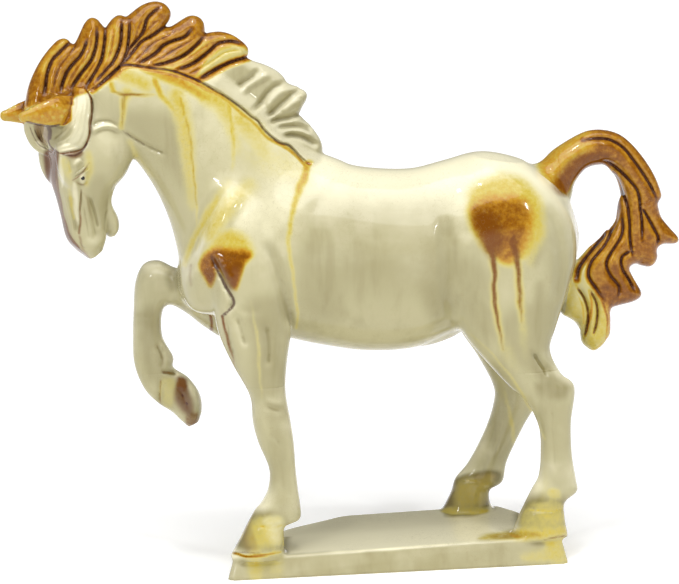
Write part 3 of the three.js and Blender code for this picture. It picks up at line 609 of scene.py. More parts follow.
# Umber glaze over the stain, in runs and in patches
UMBER_RUNS = [
    (FORELOCK_OUTER, [1.8, 1.8], [0.85, 0.85]),
    ([(486, 238), (493, 257), (495, 275), (494, 290), (498, 323), (503, 350)], [9, 5.5, 4.5, 3.6, 3.4, 3],
     [0.95, 0.98, 0.95, 0.9, 0.7, 0.3]),
    ([(513, 240), (518, 262), (519, 285), (520, 304), (522, 322)], [9, 5.5, 4, 4, 3],
     [0.8, 0.88, 0.78, 0.66, 0.3]),
    ([(190, 265), (191, 285)], [2.4, 2.4], [0.4, 0.3]),
    ([(222, 316), (229, 344), (235, 368)], [2.6, 3, 2], [0.95, 0.8, 0.3]),
    ([(111, 91), (124, 93.5), (140, 94.5), (152, 94)], [2.4, 3.4, 3, 2.4], [0.3, 0.7, 0.62, 0.2]),
    ([(124, 94), (123.5, 108), (122, 128)], [4, 2.6, 2], [0.5, 0.5, 0.34]),
    ([(181, 102), (190, 140), (193, 168), (197, 204)], [2, 2, 2, 2], [0.2, 0.3, 0.3, 0.3]),
    ([(72, 180.5), (78.8, 176), (84.8, 170.5), (89.7, 163.8)], [1.6, 2, 2, 1.6], [0.5, 0.6, 0.55, 0.3]),
    ([(73, 181), (79, 183.2), (84, 184.4), (87, 182)], [1.4, 1.8, 1.8, 1.4], [0.2, 0.36, 0.36, 0.2]),
    ([(82, 190), (81, 197), (80.5, 209), (80, 222), (78.8, 233)], [1.8, 2.2, 2.2, 2.6, 2.6],
     [0.3, 0.42, 0.5, 0.68, 0.6]),
    ([(83.6, 194), (87.3, 201), (91, 217), (94.5, 229)], [2, 2, 2, 2], [0.24, 0.26, 0.22, 0.1]),
    ([(79.4, 236.4), (82.4, 247), (87.3, 254.5)], [2.8, 2.6, 2.4], [0.5, 0.36, 0.3]),
    ([(57.8, 153), (57.2, 165), (56.8, 183), (59.8, 199), (64.6, 219.5), (70.8, 236.5), (79, 247.5)],
     [1.8, 1.7, 1.8, 1.8, 1.8, 1.8, 2], [0.6, 0.5, 0.6, 0.66, 0.66, 0.7, 0.8]),
    ([(544, 540), (558, 537), (568, 536)], [1.6, 2, 1.6], [0.4, 0.7, 0.6]),
    ([(180, 392), (184.3, 402), (188, 408)], [3, 3, 2.5], [0.8, 0.8, 0.6]),
    ([(160.8, 380), (160.2, 402.7)], [1.6, 1.6], [0.6, 0.5]),
    ([(163, 372), (170, 373.5), (176, 374.5)], [2.4, 2.6, 2], [0.6, 0.6, 0.3]),
    ([(156.7, 345), (162.5, 359), (160, 369)], [2, 2.4, 2], [0.14, 0.2, 0.2]),
    ([(232, 552), (245, 556), (262, 556), (280, 552)], [2.4, 2.6, 2.4, 2], [0.5, 0.66, 0.5, 0.2]),
    ([(250, 310), (256, 345), (260, 370)], [2, 2.4, 2], [0.1, 0.16, 0.14]),
]
UMBER_PATCHES = [
    ([(468, 205), (478, 201), (500, 203), (527, 202), (528, 226), (522, 244), (515, 254), (506, 248),
      (498, 252), (489, 252), (478, 234)], 0.34, 9),
    ([(472, 216), (486, 212), (498, 218), (502, 234), (498, 254), (490, 256), (480, 238)], 0.92, 9),
    ([(197, 264), (206, 253), (214, 258), (217, 268), (211, 287), (204, 277)], 0.3, 4),
    ([(202, 272), (214, 270), (216, 276), (211, 288), (205, 279)], 0.72, 6),
    ([(212, 253), (230, 255), (249, 254), (243, 268), (235, 289), (226, 279), (218, 266)], 0.35, 4),
    ([(214, 258), (226, 264), (242, 264), (240, 272), (235, 290), (227, 281), (219, 268)], 0.78, 7),
    # Painted shade under the forelock and painted shadow in the hollow under the ear
    ([(68, 152.5), (82, 151), (82, 156.5), (74, 159), (68.5, 157)], 0.5, 2),
    ([(33, 125), (46, 126), (49, 140), (44, 145), (37, 137)], 0.5, 2.5),
    ([(186, 416), (198, 413), (197, 426), (188, 426)], 0.6, 2.5),
    ([(247, 538), (251, 532), (256, 540), (254, 549), (248, 548)], 0.5, 3),
    ([(448, 484), (470, 476), (492, 474), (494, 482), (484, 508), (444, 510)], 0.24, 6),
    ([(474, 474), (494, 473), (494, 480), (478, 484)], 0.34, 4),
    ([(243, 518), (252, 514), (254, 532), (258, 552), (246, 551), (240, 536)], 0.32, 5),
    ([(488, 535), (520, 531), (538, 532), (540, 538), (500, 540)], 0.34, 4),
    ([(178, 378), (187, 379), (188, 394), (181, 398), (176, 390)], 0.95, 4),
    ([(176, 392), (190, 392), (194, 412), (186, 416), (176, 404)], 0.45, 5),
    ([(551, 184), (564, 166), (584, 152), (604, 149), (612, 160), (596, 168), (580, 176), (564, 196)],
     0.6, 6),
    ([(556, 186), (566, 170), (578, 159), (592, 153), (606, 156), (612, 164), (600, 167), (586, 171),
      (574, 184), (566, 196)], 0.64, 4),
    ([(597, 262), (610, 260), (626, 268), (634, 280), (644, 292), (632, 304), (612, 308), (600, 302),
      (590, 286)], 0.3, 4),
]
# Dark plum lines: the line, its half width in picture points and its strength. Some are painted shadow under
# the ear and the forelock.
DARK_LINES = [
    ([(212, 260), (219, 273), (226, 287), (232.5, 297), (233.5, 305), (226, 313), (219.5, 318)], 2.6, 0.85),
    (CREST_CREASE, 1.8, 0.7),
    ([(121, 129), (131, 136.5), (147, 146)], 1.8, 0.45),
    # The next four lines are painted shadow in the hollow under the ear and beneath the forelock.
    ([(24, 121), (36, 124), (50, 126.5), (62, 124)], 2.0, 0.8),
    ([(49, 136), (48.5, 142), (52, 148), (60, 154)], 1.8, 0.7),
    ([(60, 154), (74, 155.5), (83, 150), (88, 141)], 2.2, 0.7),
    ([(48, 126), (50, 132), (49, 140)], 3.6, 0.9),
    ([(29, 125), (34, 137), (40, 145.5), (53, 151.5)], 1.4, 0.6),
    ([(34, 128.5), (38.8, 138), (48.5, 148)], 1.3, 0.6),
    ([(182, 394), (183, 397)], 1.8, 0.9),
    ([(186.4, 403), (187.6, 405)], 2.2, 1.0),
    ([(452, 510), (470, 512)], 1.8, 0.5),
    ([(232, 552), (262, 553)], 1.8, 0.45),
]
# Mauve: the stripe down the face, and small patches in the shoulder's crease and on the raised hoof, and
# painted shade under the forelock
MAUVE_PATCHES = [
    ([(45, 151), (58, 152), (57.4, 180), (60.3, 199), (65, 219.5), (71, 236.5), (79.5, 247.5), (90, 259),
      (84, 266), (66, 240), (56, 215), (48, 190), (44, 165)], 1.0, 2.4),
    ([(214, 256), (222, 262), (230, 276), (233, 288), (228, 288), (220, 272)], 0.6, 2),
    ([(177, 388), (186, 388), (192, 400), (193, 416), (184, 412), (175, 400)], 0.75, 4),
    # Painted shade under the forelock
    ([(66, 151), (80, 150), (80, 157), (68, 158)], 0.5, 3),
]
# Dark lines in the grooves of the mane and of the tail, partly dark glaze and partly painted shade: half
# width in picture points and strength
MANE_LINE = (4.2, 0.5)
TAIL_LINE = (2.4, 0.62)
DARK_FADE = 0.1
# Below this row of the picture the trunk takes no hair glaze
RUMP_FROM = 212
# How far the tail's colours reach from the middle plane
TUFT_DEPTH = 15 * MM
# The ears are amber only left of this column, within a space that swells a little past them
EAR_COLUMN = 72
EAR_COLUMN_SOFT = 2
EAR_SWELL = 1.08
EAR_EDGE = (0.02, 0.12)
# The glazes' edges wander by this many picture points, over this length, the hair's by a share of it
WANDER = 0.9
WANDER_LENGTH = 5 * MM
WANDER_WAVES = 5
HAIR_WANDER = 0.5
# How far the far side's glazes lie from the near side's, in picture points
FAR_SIDE_SHIFT = (7, -5)
# Hollows: the field's band that counts, how far it is averaged, and the depth that counts as full
HOLLOW_BAND = 3 * MM
HOLLOW_REACH = 1.4 * MM
HOLLOW_DEPTH = 0.45 * MM
# Points of a drawing's sheet to one of the picture
FINENESS = 3

# Where the drawing reaches through to the far legs and to the face's far half, in shares
FAR_HINDLEG_FROM = 60
FAR_LEG_TOP = 372
RAISED_LEG_FROM = -345
RAISED_LEG_TOP = 530
FACE_DEPTH = 32
FACE_TOP = 815

# How deep the carving reaches into the field, and how far a piece runs on past a seam and sinks there
RELIEF_REACH = 4.5 * MM
OVERLAP = 1.6 * MM
SEAM_SINK = 0.3 * MM
# Runs that are paler than this value all along spread wider by this factor
PALE_VALUE = 0.5
PALE_SPREAD = 1.5

# The glaze's surface
GLAZE_SURFACE = {
    "Roughness": 0.12,
    "IOR": 1.45,
    "Specular IOR Level": 0.25,
    "Coat Weight": 0.32,
    "Coat Roughness": 0.04,
    "Coat IOR": 1.5,
}
# Noises of the glaze: scale, detail and roughness
WAVES = (45, 3, 0.55)
GRAIN = (420, 4, 0.6)
STREAKS = (1, 3, 0.55)
CRAZED_PATCHES = (30, 2, 0.5)
# The cream glaze: waves tilt it, it is painted lighter facing up as a painted top light, it turns olive in
# hollows, partly as pooled glaze and partly as painted shade, and it streaks down the sides
WAVE_TILT = 0.8
TOP_LIGHT_FACING = (-0.15, 0.85)
POOLED_AND_SHADED_HOLLOWS = (0.02, 0.6)
STREAK_SCALE = (110, 110, 16)
STREAK_EDGE = (0.45, 0.75)
STREAKED_SIDES = (0.6, 0.0)
STREAK_THICKNESS = 0.2
POOLED_OLIVE_AND_SHADE = 0.38
# The stain: how far the grain breaks it up, how it deepens in hollows, partly as pooled glaze and partly as
# painted shade, how it thins on ridges, and its cover
GRAIN_BREAK = 0.7
POOLED_STAIN_AND_SHADE = 0.35
RIDGES = (-0.02, -0.5)
RIDGE_THINNING = 0.16
STRAW_DEPTH = 0.22
YELLOW_DEPTH = 0.42
HONEY_DEPTH = 0.62
AMBER_DEPTH = 0.8
STAIN_COVER = (0.0, 0.46)
UMBER_COVER = (0.02, 0.9, 0.0, 0.96)
LINE_COVER = (0.1, 0.75)
LINE_STRENGTH = 0.82
# The crazing's fine cracks
CRAZED_PARTS = (0.42, 0.62)
CRAZING_CELLS = 190
CRAZING_BEND = 0.035
CRAZING_BEND_SCALE = 130
CRAZING_WIDTH = 0.035
CRAZING_STRENGTH = 0.25
# The glaze's own relief, and the eyes and the floor
WAVE_RELIEF = 0.6
GRAIN_RELIEF = 0.05
RELIEF_STRENGTH = 0.25
RELIEF_HEIGHT = 0.9 * MM
EYE_SURFACE = {"Roughness": 0.1}
EYE_BLACK = (22, 18, 16)
FLOOR_SURFACE = {"Roughness": 0.9, "Specular IOR Level": 0.0, "Emission Strength": 0.2}

# The pieces that the figure is skinned in, as outlines in side view
MANE_OUTLINE = [
    (-900, 905), (-668, 842), (-604, 834), (-545, 846), (-504, 868), (-474, 880), (-404, 866), (-340, 840),
    (-282, 800), (-226, 744), (-165, 692), (-128, 700), (-60, 780), (-60, 1200), (-900, 1200),
]
HEAD_OUTLINE = [
    (-900, 400), (-900, 905), (-668, 842), (-604, 834), (-545, 846), (-548, 838), (-470, 720), (-458, 700),
    (-440, 640), (-440, 540), (-560, 500), (-700, 400),
]
TAIL_OUTLINE = [
    (318, 780), (322, 700), (348, 640), (368, 600), (374, 530), (352, 505), (344, 440), (346, 400),
    (372, 372), (380, 300), (700, 300), (700, 800),
]
MANE_PARTING = -345
PAST_FIGURE = 1000
ABOVE_FIGURE = 1300
LEG_TOP = 98 * MM
PLINTH_REACH = 15.5 * MM

# The blocks that the pieces are carved in: x from and to, side, z from and to, in shares
BLOCK_MARGIN = 8
TRUNK_BLOCK = (-600, 420, 175, 280, 950)
LEGS_BLOCK = (-500, 380, 175, -20, 345)
HEAD_BLOCK = (-720, -420, 110, 500, 920)
MANE_FRONT_BLOCK = (-700, MANE_PARTING + BLOCK_MARGIN, 70, 800, 1010)
MANE_BACK_BLOCK = (MANE_PARTING - BLOCK_MARGIN, -40, 90, 660, 1010)
TAIL_BLOCK = (290, 600, 90, 300, 800)
PLINTH_MARGIN = 4 * MM
PLINTH_BLOCK_FLOOR = -3 * MM
PLINTH_BLOCK_TOP = 22 * MM
PLINTH_CELL_SHARE = 0.8

# The eyes: their place in the picture, and how many picture points a metre further out makes up for
EYE_PLACE = (83, 178.5)
EYE_RADIUS = 0.95 * MM
EYE_FLATNESS = 0.5
EYE_OUTWARD_PULL = 20
OTHER_SIDE = 1000

# The stage. A lamp has its place, its width and its height.
FIGURE_MIDDLE = (-0.02, 0, 0.15)
FLOOR_REACH = 60
HORIZON_BAND = (0.06, 0.2)
OVERHEAD_PLACE = (-0.12, -0.5, 1.4)
OVERHEAD_ANGLE = math.radians(65)
LAMPS = {
    "left_lamp": ((-0.8, -1.0, 0.75), 0.055, 0.24),
    "right_lamp": ((0.7, -1.0, 0.85), 0.055, 0.2),
    "top_lamp": ((-0.1, -0.35, 1.2), 0.07, 0.07),
}


def shade(red, green, blue):
    """A colour as the eye sees it, 0 to 255, for a shader."""
    made = []
    for value in (red, green, blue):
        value /= 255
        made.append(value / 12.92 if value <= 0.04045 else ((value + 0.055) / 1.055) ** 2.4)
    return (*made, 1)


def colour_setting(name, description, red, green, blue):
    """A colour that a user can change, given as the eye sees it, 0 to 255."""
    return bpy.props.FloatVectorProperty(
        name=name, description=description, default=shade(red, green, blue), size=4, min=0, max=1,
        subtype="COLOR")


def amount_setting(name, description, default):
    return bpy.props.FloatProperty(name=name, description=description, default=default, min=0)


class GlazeSettings(bpy.types.PropertyGroup):
    # Ivory is the cream painted lighter where surfaces face up, a painted top light, and the painted
    # highlight of the patches below 0; cream is the glaze on upright surfaces
    topside_light_ivory: colour_setting("Ivory", "Thin cream glaze on surfaces that face up", 238, 232, 200)
    cream: colour_setting("Cream", "Cream glaze on upright surfaces", 180, 173, 134)
    # Olive is the cream darkened in hollows and in patches, partly pooled glaze and partly painted shade
    olive_pooled_and_shade: colour_setting("Olive", "Cream glaze where it gathers in hollows", 120, 110, 64)
    straw: colour_setting("Straw", "The faintest stain", 202, 190, 116)
    yellow: colour_setting("Yellow", "Light stain", 192, 172, 72)
    honey: colour_setting("Honey", "Stain on the hair's ridges", 180, 130, 32)
    amber: colour_setting("Amber", "Deep stain", 138, 84, 10)
    brown: colour_setting("Brown", "The deepest stain", 98, 56, 10)
    # Plum: dark glaze and painted shade in the grooves between locks, and painted shadow under the ear and
    # the forelock
    plum: colour_setting("Plum", "Dark lines between locks", 76, 46, 40)
    umber: colour_setting("Umber", "Brown glaze that ran down the body", 112, 62, 6)
    mauve: colour_setting("Mauve", "The stripe down the face", 100, 64, 36)
    crackle: colour_setting("Crackle", "Lines of the crazing", 150, 135, 95)


class StudioSettings(bpy.types.PropertyGroup):
    floor_colour: colour_setting("Floor", "Colour of the floor", 255, 255, 255)
    horizon: amount_setting("Horizon", "Brightness of the backdrop at the horizon", 1.12)
    dome: amount_setting("Dome", "Brightness of the room above", 0.1)
    overhead: amount_setting("Overhead light", "Strength of the wide light from above", 2.75)
    left_lamp: amount_setting("Left lamp", "Watts of the lamp at the left", 2.6)
    right_lamp: amount_setting("Right lamp", "Watts of the lamp at the right", 2.0)
    top_lamp: amount_setting("Top lamp", "Watts of the small lamp above the back", 1.2)


class PlinthSettings(bpy.types.PropertyGroup):
    head_thickness: bpy.props.FloatProperty(
        name="Thickness at the head end", description="Plinth thickness under the head", default=10 * MM,
        unit="LENGTH")
    tail_thickness: bpy.props.FloatProperty(
        name="Thickness at the tail end", description="Plinth thickness under the tail", default=14 * MM,
        unit="LENGTH")
    flare: bpy.props.FloatProperty(
        name="Flare", description="How far the foot stands out past the top", default=3 * MM, unit="LENGTH")
    edge_round: bpy.props.FloatProperty(
        name="Edge rounding", description="Softening of the top edge", default=1.4 * MM, unit="LENGTH")


class CarvingSettings(bpy.types.PropertyGroup):
    trunk_cell: bpy.props.FloatProperty(
        name="Trunk cell", description="Grid size that the trunk and legs are skinned at", default=1.1 * MM,
        unit="LENGTH")
    head_cell: bpy.props.FloatProperty(
        name="Head cell", description="Grid size that the head is skinned at", default=0.52 * MM,
        unit="LENGTH")
    hair_cell: bpy.props.FloatProperty(
        name="Hair cell", description="Grid size that the mane and tail are skinned at", default=0.56 * MM,
        unit="LENGTH")
    lock_depth: bpy.props.FloatProperty(
        name="Lock depth", description="How deep the grooves between locks are cut", default=3.2 * MM,
        unit="LENGTH")


# Curves and closed forms

def curve_through(rows, steps):
    """Rows of numbers smoothly joined, with a number of steps between neighbours."""
    rows = np.asarray(rows, float)
    ends = np.vstack([2 * rows[0] - rows[1], rows, 2 * rows[-1] - rows[-2]])
    made = []
    for before, start, end, after in zip(ends, ends[1:], ends[2:], ends[3:]):
        for place in np.arange(steps) / steps:
            made.append(0.5 * (
                2 * start
                + (end - before) * place
                + (2 * before - 5 * start + 4 * end - after) * place ** 2
                + (3 * start - before - 3 * end + after) * place ** 3
            ))
    made.append(rows[-1])
    return np.array(made)


def placed(x, side, z):
    """A point given in shares, in metres."""
    return np.stack([x * SHARE, side * SHARE, CARVING_LEVEL + z * SHARE], -1)


def skin(rings):
    """One closed form over a grid of rings, as points and triangles facing out."""
    count, sides = rings.shape[:2]
    points = np.vstack([rings.reshape(-1, 3), rings[0].mean(0), rings[-1].mean(0)])
    here = np.arange(count * sides).reshape(count, sides)
    after = np.roll(here, -1, axis=1)
    walls = np.stack([here[:-1], after[:-1], after[1:], here[1:]], -1).reshape(-1, 4)
    faces = [walls[:, [0, 1, 2]], walls[:, [0, 2, 3]]]
    first = np.full(sides, count * sides)
    faces.append(np.stack([first, after[0], here[0]], -1))
    faces.append(np.stack([first + 1, here[-1], after[-1]], -1))
    faces = np.vstack(faces)
    corners = points[faces]
    volume = np.einsum("ij,ij->", corners[:, 0], np.cross(corners[:, 1], corners[:, 2]))
    return points, faces if volume > 0 else faces[:, ::-1]


def oval_rings(fronts, backs, half_widths, sides, squareness=2.0):
    """Oval sections between front and back points. A squareness above 2 flattens their faces."""
    angle = np.arange(sides) / sides * 2 * np.pi
    power = 2 / squareness
    along = np.sign(np.cos(angle)) * np.abs(np.cos(angle)) ** power
    across = np.sign(np.sin(angle)) * np.abs(np.sin(angle)) ** power
    middle = (fronts + backs) / 2
    reach = (fronts - backs) / 2
    rings = middle[:, None] + reach[:, None] * along[None, :, None]
    rings[:, :, 1] += half_widths[:, None] * across[None]
    return rings


def limb(ribs, squareness=2.0, sides=96, steps=CURVE_STEPS):
    """A limb skinned over ribs of x, z at the front, x, z at the back, side and half width."""
    rows = curve_through(ribs, steps)
    fronts = placed(rows[:, 0], rows[:, 4], rows[:, 1])
    backs = placed(rows[:, 2], rows[:, 4], rows[:, 3])
    return skin(oval_rings(fronts, backs, rows[:, 5] * SHARE, sides, squareness))


def strand(row, sides=24, steps=CURVE_STEPS):
    """A strand along x, z, side, half height and half thickness, with a rounded tip."""
    rows = curve_through(row, steps)
    last = rows[-1]
    onward = (last - rows[-2])[:3]
    onward *= last[3] / np.linalg.norm(onward)
    tip = [
        [*(last[:3] + onward * math.sin(turn)), *(last[3:] * math.cos(turn))]
        for turn in np.linspace(0, math.pi / 2, steps)[1:-1]
    ]
    rows = np.vstack([rows, tip])
    middle = placed(rows[:, 0], rows[:, 2], rows[:, 1])
    heading = np.gradient(middle, axis=0)
    across = np.stack([-heading[:, 2], np.zeros(len(rows)), heading[:, 0]], -1)
    across *= (rows[:, 3] * SHARE / np.linalg.norm(across, axis=1))[:, None]
    return skin(oval_rings(middle - across, middle + across, rows[:, 4] * SHARE, sides))


def ball(x, z, side, half_length, half_height, half_width, tilt, rings=24, sides=32):
    """A rounded muscle, tilted in side view by degrees."""
    turn = math.radians(tilt)
    rise = np.linspace(-np.pi / 2, np.pi / 2, rings + 2)[1:-1]
    round_it = np.arange(sides) / sides * 2 * np.pi
    along = np.cos(rise)[:, None] * np.cos(round_it) * half_length
    across = np.cos(rise)[:, None] * np.sin(round_it) * half_width
    up = np.repeat(np.sin(rise)[:, None], sides, 1) * half_height
    tilted_along = along * math.cos(turn) + up * math.sin(turn)
    tilted_up = up * math.cos(turn) - along * math.sin(turn)
    return skin(placed(x + tilted_along, side + across, z + tilted_up))


def plinth_top(x):
    """Height of the plinth's sloping top."""
    settings = bpy.context.scene.plinth
    along = x / PLINTH_LENGTH + 0.5
    return settings.head_thickness + (settings.tail_thickness - settings.head_thickness) * along


def standing_leg(ribs):
    """A leg stretched so that its sole meets the plinth, and then set into it."""
    ribs = np.array(ribs, float)
    sole = ribs[-1]
    middle = (sole[0] + sole[2]) / 2 * SHARE
    ground = (plinth_top(middle) - CARVING_LEVEL) / SHARE
    for column in (1, 3):
        ribs[:, column] += ground * (1 - ribs[:, column] / ribs[0, 1])
    sunk = sole.copy()
    sunk[[1, 3]] = ground - HOOF_SINK / SHARE
    return limb(np.vstack([ribs, sunk]), squareness=LEG_SECTION)


def plinth_form():
    """The plinth, its far corners cut away and every corner softened."""
    settings = bpy.context.scene.plinth
    end_x = PLINTH_LENGTH / 2
    end_y = PLINTH_WIDTH / 2
    deep_bend, shallow_bend = (-end_x + HEAD_CORNER_CUT * share for share in HEAD_CORNER_BENDS)
    corners = np.array([
        [-end_x, -end_y],
        [end_x, -end_y],
        [end_x - TAIL_CORNER_CUT / 2, end_y / 2],
        [end_x - TAIL_CORNER_CUT, end_y],
        [-end_x + HEAD_CORNER_CUT, end_y],
        [deep_bend, end_y / 2],
        [shallow_bend, -end_y / 4],
    ])
    outline = []
    for number, corner in enumerate(corners):
        reach = []
        for other in (corners[number - 1], corners[(number + 1) % len(corners)]):
            reach.append(corner + (other - corner) / np.linalg.norm(other - corner) * PLINTH_CORNER_RADIUS)
        for place in np.linspace(0, 1, CORNER_STEPS):
            back = 1 - place
            outline.append(back ** 2 * reach[0] + 2 * place * back * corner + place ** 2 * reach[1])
    outline = np.array(outline)

    def layer(inset, drop):
        x = outline[:, 0] * (1 - 2 * inset / PLINTH_LENGTH)
        y = outline[:, 1] * (1 - 2 * inset / PLINTH_WIDTH)
        z = np.zeros(len(x)) if drop is None else plinth_top(outline[:, 0]) - drop
        return np.stack([x, y, z], -1)

    rings = [layer(0, None)]
    for turn in np.linspace(0, math.pi / 2, EDGE_STEPS):
        inset = settings.flare + settings.edge_round * (1 - math.cos(turn))
        rings.append(layer(inset, settings.edge_round * (1 - math.sin(turn))))
    return skin(np.array(rings))


def turned(points, way=1):
    """Points of the head turned with it, or turned back."""
    cos = math.cos(HEAD_TURN)
    sin = math.sin(HEAD_TURN) * way
    ahead = points[:, 0] - HEAD_TURN_AXIS
    side = points[:, 1]
    return np.stack([HEAD_TURN_AXIS + ahead * cos - side * sin, ahead * sin + side * cos, points[:, 2]], -1)


def swellings(rows):
    """Rounded muscles, on both sides where they don't lie on the middle."""
    made = []
    for x, z, side, *size in rows:
        for direction in ([1] if side == 0 else [1, -1]):
            made.append(ball(x, z, side * direction, *size))
    return made


def both_ears():
    rows = [[(x, z, side * way, *size) for x, z, side, *size in EAR] for way in (1, -1)]
    return [strand(row) for row in rows]


def head_forms():
    facing_ahead = [(limb(HEAD_RIBS, squareness=HEAD_SECTION), HEAD_BLEND), (limb(CHIN_RIBS), CHIN_BLEND)]
    facing_ahead += [(form, HEAD_SWELLING_BLEND) for form in swellings(HEAD_SWELLINGS)]
    facing_ahead += [(form, EAR_BLEND) for form in both_ears()]
    return [((turned(points), faces), blend) for (points, faces), blend in facing_ahead]


def figure_forms():
    """Every form of the figure, with how softly it runs into what is already there."""
    forms = [(limb(TORSO_RIBS), 0), (limb(NECK_RIBS), NECK_BLEND)]
    for ribs in (NEAR_FORELEG_RIBS, NEAR_HINDLEG_RIBS, FAR_HINDLEG_RIBS):
        forms.append((standing_leg(ribs), LEG_BLEND))
    forms.append((limb(RAISED_FORELEG_RIBS, squareness=LEG_SECTION), LEG_BLEND))
    forms += [(form, BODY_SWELLING_BLEND) for form in swellings(BODY_SWELLINGS)]
    forms += head_forms()
    forms += [(strand(row), FORELOCK_BLEND) for row in (NEAR_FORELOCK, FAR_FORELOCK)]
    forms.append((plinth_form(), PLINTH_BLEND))
    return [(form, blend * MM) for form, blend in forms]


# The field

def soft_least(first, second, blend):
    """The lesser of two fields, running softly from one into the other."""
    if blend == 0:
        return np.minimum(first, second)
    mix = np.clip(0.5 + 0.5 * (second - first) / blend, 0, 1)
    return second + (first - second) * mix - blend * mix * (1 - mix)


class Block:
    """A block of clay as distances on a grid of cells, negative inside the figure."""

    def __init__(self, low, high, cell):
        self.low = np.floor(np.array(low, float) / cell) * cell
        self.cell = cell
        self.shape = tuple(int(size) for size in np.ceil((np.array(high) - self.low) / cell) + 1)
        self.field = np.full(self.shape, FAR_AWAY, np.float32)

    def add(self, form, blend):
        points, faces = form
        margin = blend + MARGIN_CELLS * self.cell
        first = np.floor((points.min(0) - margin - self.low) / self.cell).astype(int)
        last = np.ceil((points.max(0) + margin - self.low) / self.cell).astype(int) + 1
        first = np.clip(first, 0, self.shape)
        last = np.clip(last, 0, self.shape)
        if np.any(last <= first):
            return
        reach = max(margin, FIELD_REACH)
        grid = openvdb.FloatGrid.createLevelSetFromPolygons(
            ((points - self.low) / self.cell).astype(np.float32),
            triangles=faces.astype(np.uint32),
            transform=openvdb.createLinearTransform(voxelSize=1.0),
            halfWidth=reach / self.cell,
        )
        part = np.zeros(tuple(last - first), np.float32)
        grid.copyToArray(part, ijk=tuple(int(number) for number in first))
        window = tuple(slice(a, b) for a, b in zip(first, last))
        self.field[window] = soft_least(self.field[window], part * self.cell, blend)

    def add_hair(self, shape, root, root_depth, tip_depth, reach, rounding, blend):
        """Hair as a sheet over its outline in side view, rounded at its edge, thinner away from its root."""
        shape = side_view(smooth_closed(shape))
        root = side_view(smooth_line(root))
        low = np.array([shape[:, 0].min(), -root_depth, shape[:, 1].min()]) - blend - self.cell
        high = np.array([shape[:, 0].max(), root_depth, shape[:, 1].max()]) + blend + self.cell
        first = np.clip(np.floor((low - self.low) / self.cell).astype(int), 0, self.shape)
        last = np.clip(np.ceil((high - self.low) / self.cell).astype(int) + 1, 0, self.shape)
        if np.any(last <= first):
            return
        xs, ys, zs = (axis[a:b] for axis, a, b in zip(self.axes(), first, last))
        across, up = np.meshgrid(xs, zs, indexing="ij")
        places = np.stack([across.ravel(), up.ravel()], -1)
        edge = outline_distance(places, shape).reshape(across.shape)
        depth = np.interp(to_line(places, root)[0], [0, reach], [root_depth, tip_depth]).reshape(across.shape)
        outward = np.clip(rounding + edge, 0, None)[:, None, :]
        sideways = np.abs(ys)[None, :, None] * (rounding / depth)[:, None, :]
        window = tuple(slice(a, b) for a, b in zip(first, last))
        self.field[window] = soft_least(self.field[window], np.hypot(outward, sideways) - rounding, blend)

    def axes(self):
        return [self.low[axis] + self.cell * np.arange(self.shape[axis]) for axis in range(3)]

    def part_at(self, distance):
        """Ends the skin a little past a border, sinking it there so that the next piece takes over unseen."""
        sunk = self.field + SEAM_SINK * smooth_step(distance, 0, OVERLAP)
        self.field = np.maximum(sunk, distance - OVERLAP).astype(np.float32)

    def surface(self):
        """Points and four-sided faces of the field's skin."""
        band = BAND_CELLS * self.cell
        grid = openvdb.FloatGrid(band)
        grid.copyFromArray(np.clip(self.field, -band, band), tolerance=0.0)
        points, _, quads = grid.convertToPolygons(isovalue=0.0, adaptivity=0.0)
        return self.low + points * self.cell, quads.astype(int)

    def blurred(self, reach):
        """The uncut field averaged over a small neighbourhood."""
        field = np.clip(self.uncut, -HOLLOW_BAND, HOLLOW_BAND)
        size = max(1, int(round(reach / self.cell)))
        for axis in range(3):
            padded = np.concatenate([
                np.repeat(field.take([0], axis), size + 1, axis),
                field,
                np.repeat(field.take([-1], axis), size, axis),
            ], axis)
            total = np.cumsum(padded, axis=axis, dtype=np.float64)
            width = 2 * size + 1
            upper = np.take(total, np.arange(width, total.shape[axis]), axis)
            lower = np.take(total, np.arange(0, total.shape[axis] - width), axis)
            field = ((upper - lower) / width).astype(np.float32)
        return field

    def sample(self, array, points):
        """Values of an array of the block at points, interpolated."""
        at = (points - self.low) / self.cell
        base = np.clip(np.floor(at).astype(int), 0, np.array(self.shape) - 2)
        part = (at - base).astype(np.float32)
        total = np.zeros(len(points), np.float32)
        for i in (0, 1):
            for j in (0, 1):
                for k in (0, 1):
                    weight = (
                        np.where(i, part[:, 0], 1 - part[:, 0])
                        * np.where(j, part[:, 1], 1 - part[:, 1])
                        * np.where(k, part[:, 2], 1 - part[:, 2])
                    )
                    total += weight * array[base[:, 0] + i, base[:, 1] + j, base[:, 2] + k]
        return total


# Drawings over the picture

def view_axes():
    """The directions back to the viewer, right and up."""
    back = np.array([
        math.sin(VIEW_AZIMUTH) * math.cos(VIEW_ELEVATION),
        -math.cos(VIEW_AZIMUTH) * math.cos(VIEW_ELEVATION),
        math.sin(VIEW_ELEVATION),
    ])
    right = np.cross(-back, [0, 0, 1])
    right /= np.linalg.norm(right)
    return back, right, np.cross(right, -back)


def picture_places(points):
    """Where points of the figure fall in the picture."""
    back, right, up = view_axes()
    reach = points - (VIEW_TARGET + back * VIEW_DISTANCE)
    depth = -(reach @ back)
    return np.stack([
        PICTURE_WIDTH / 2 + VIEW_FOCUS * (reach @ right) / depth,
        PICTURE_HEIGHT / 2 - VIEW_FOCUS * (reach @ up) / depth,
    ], -1)


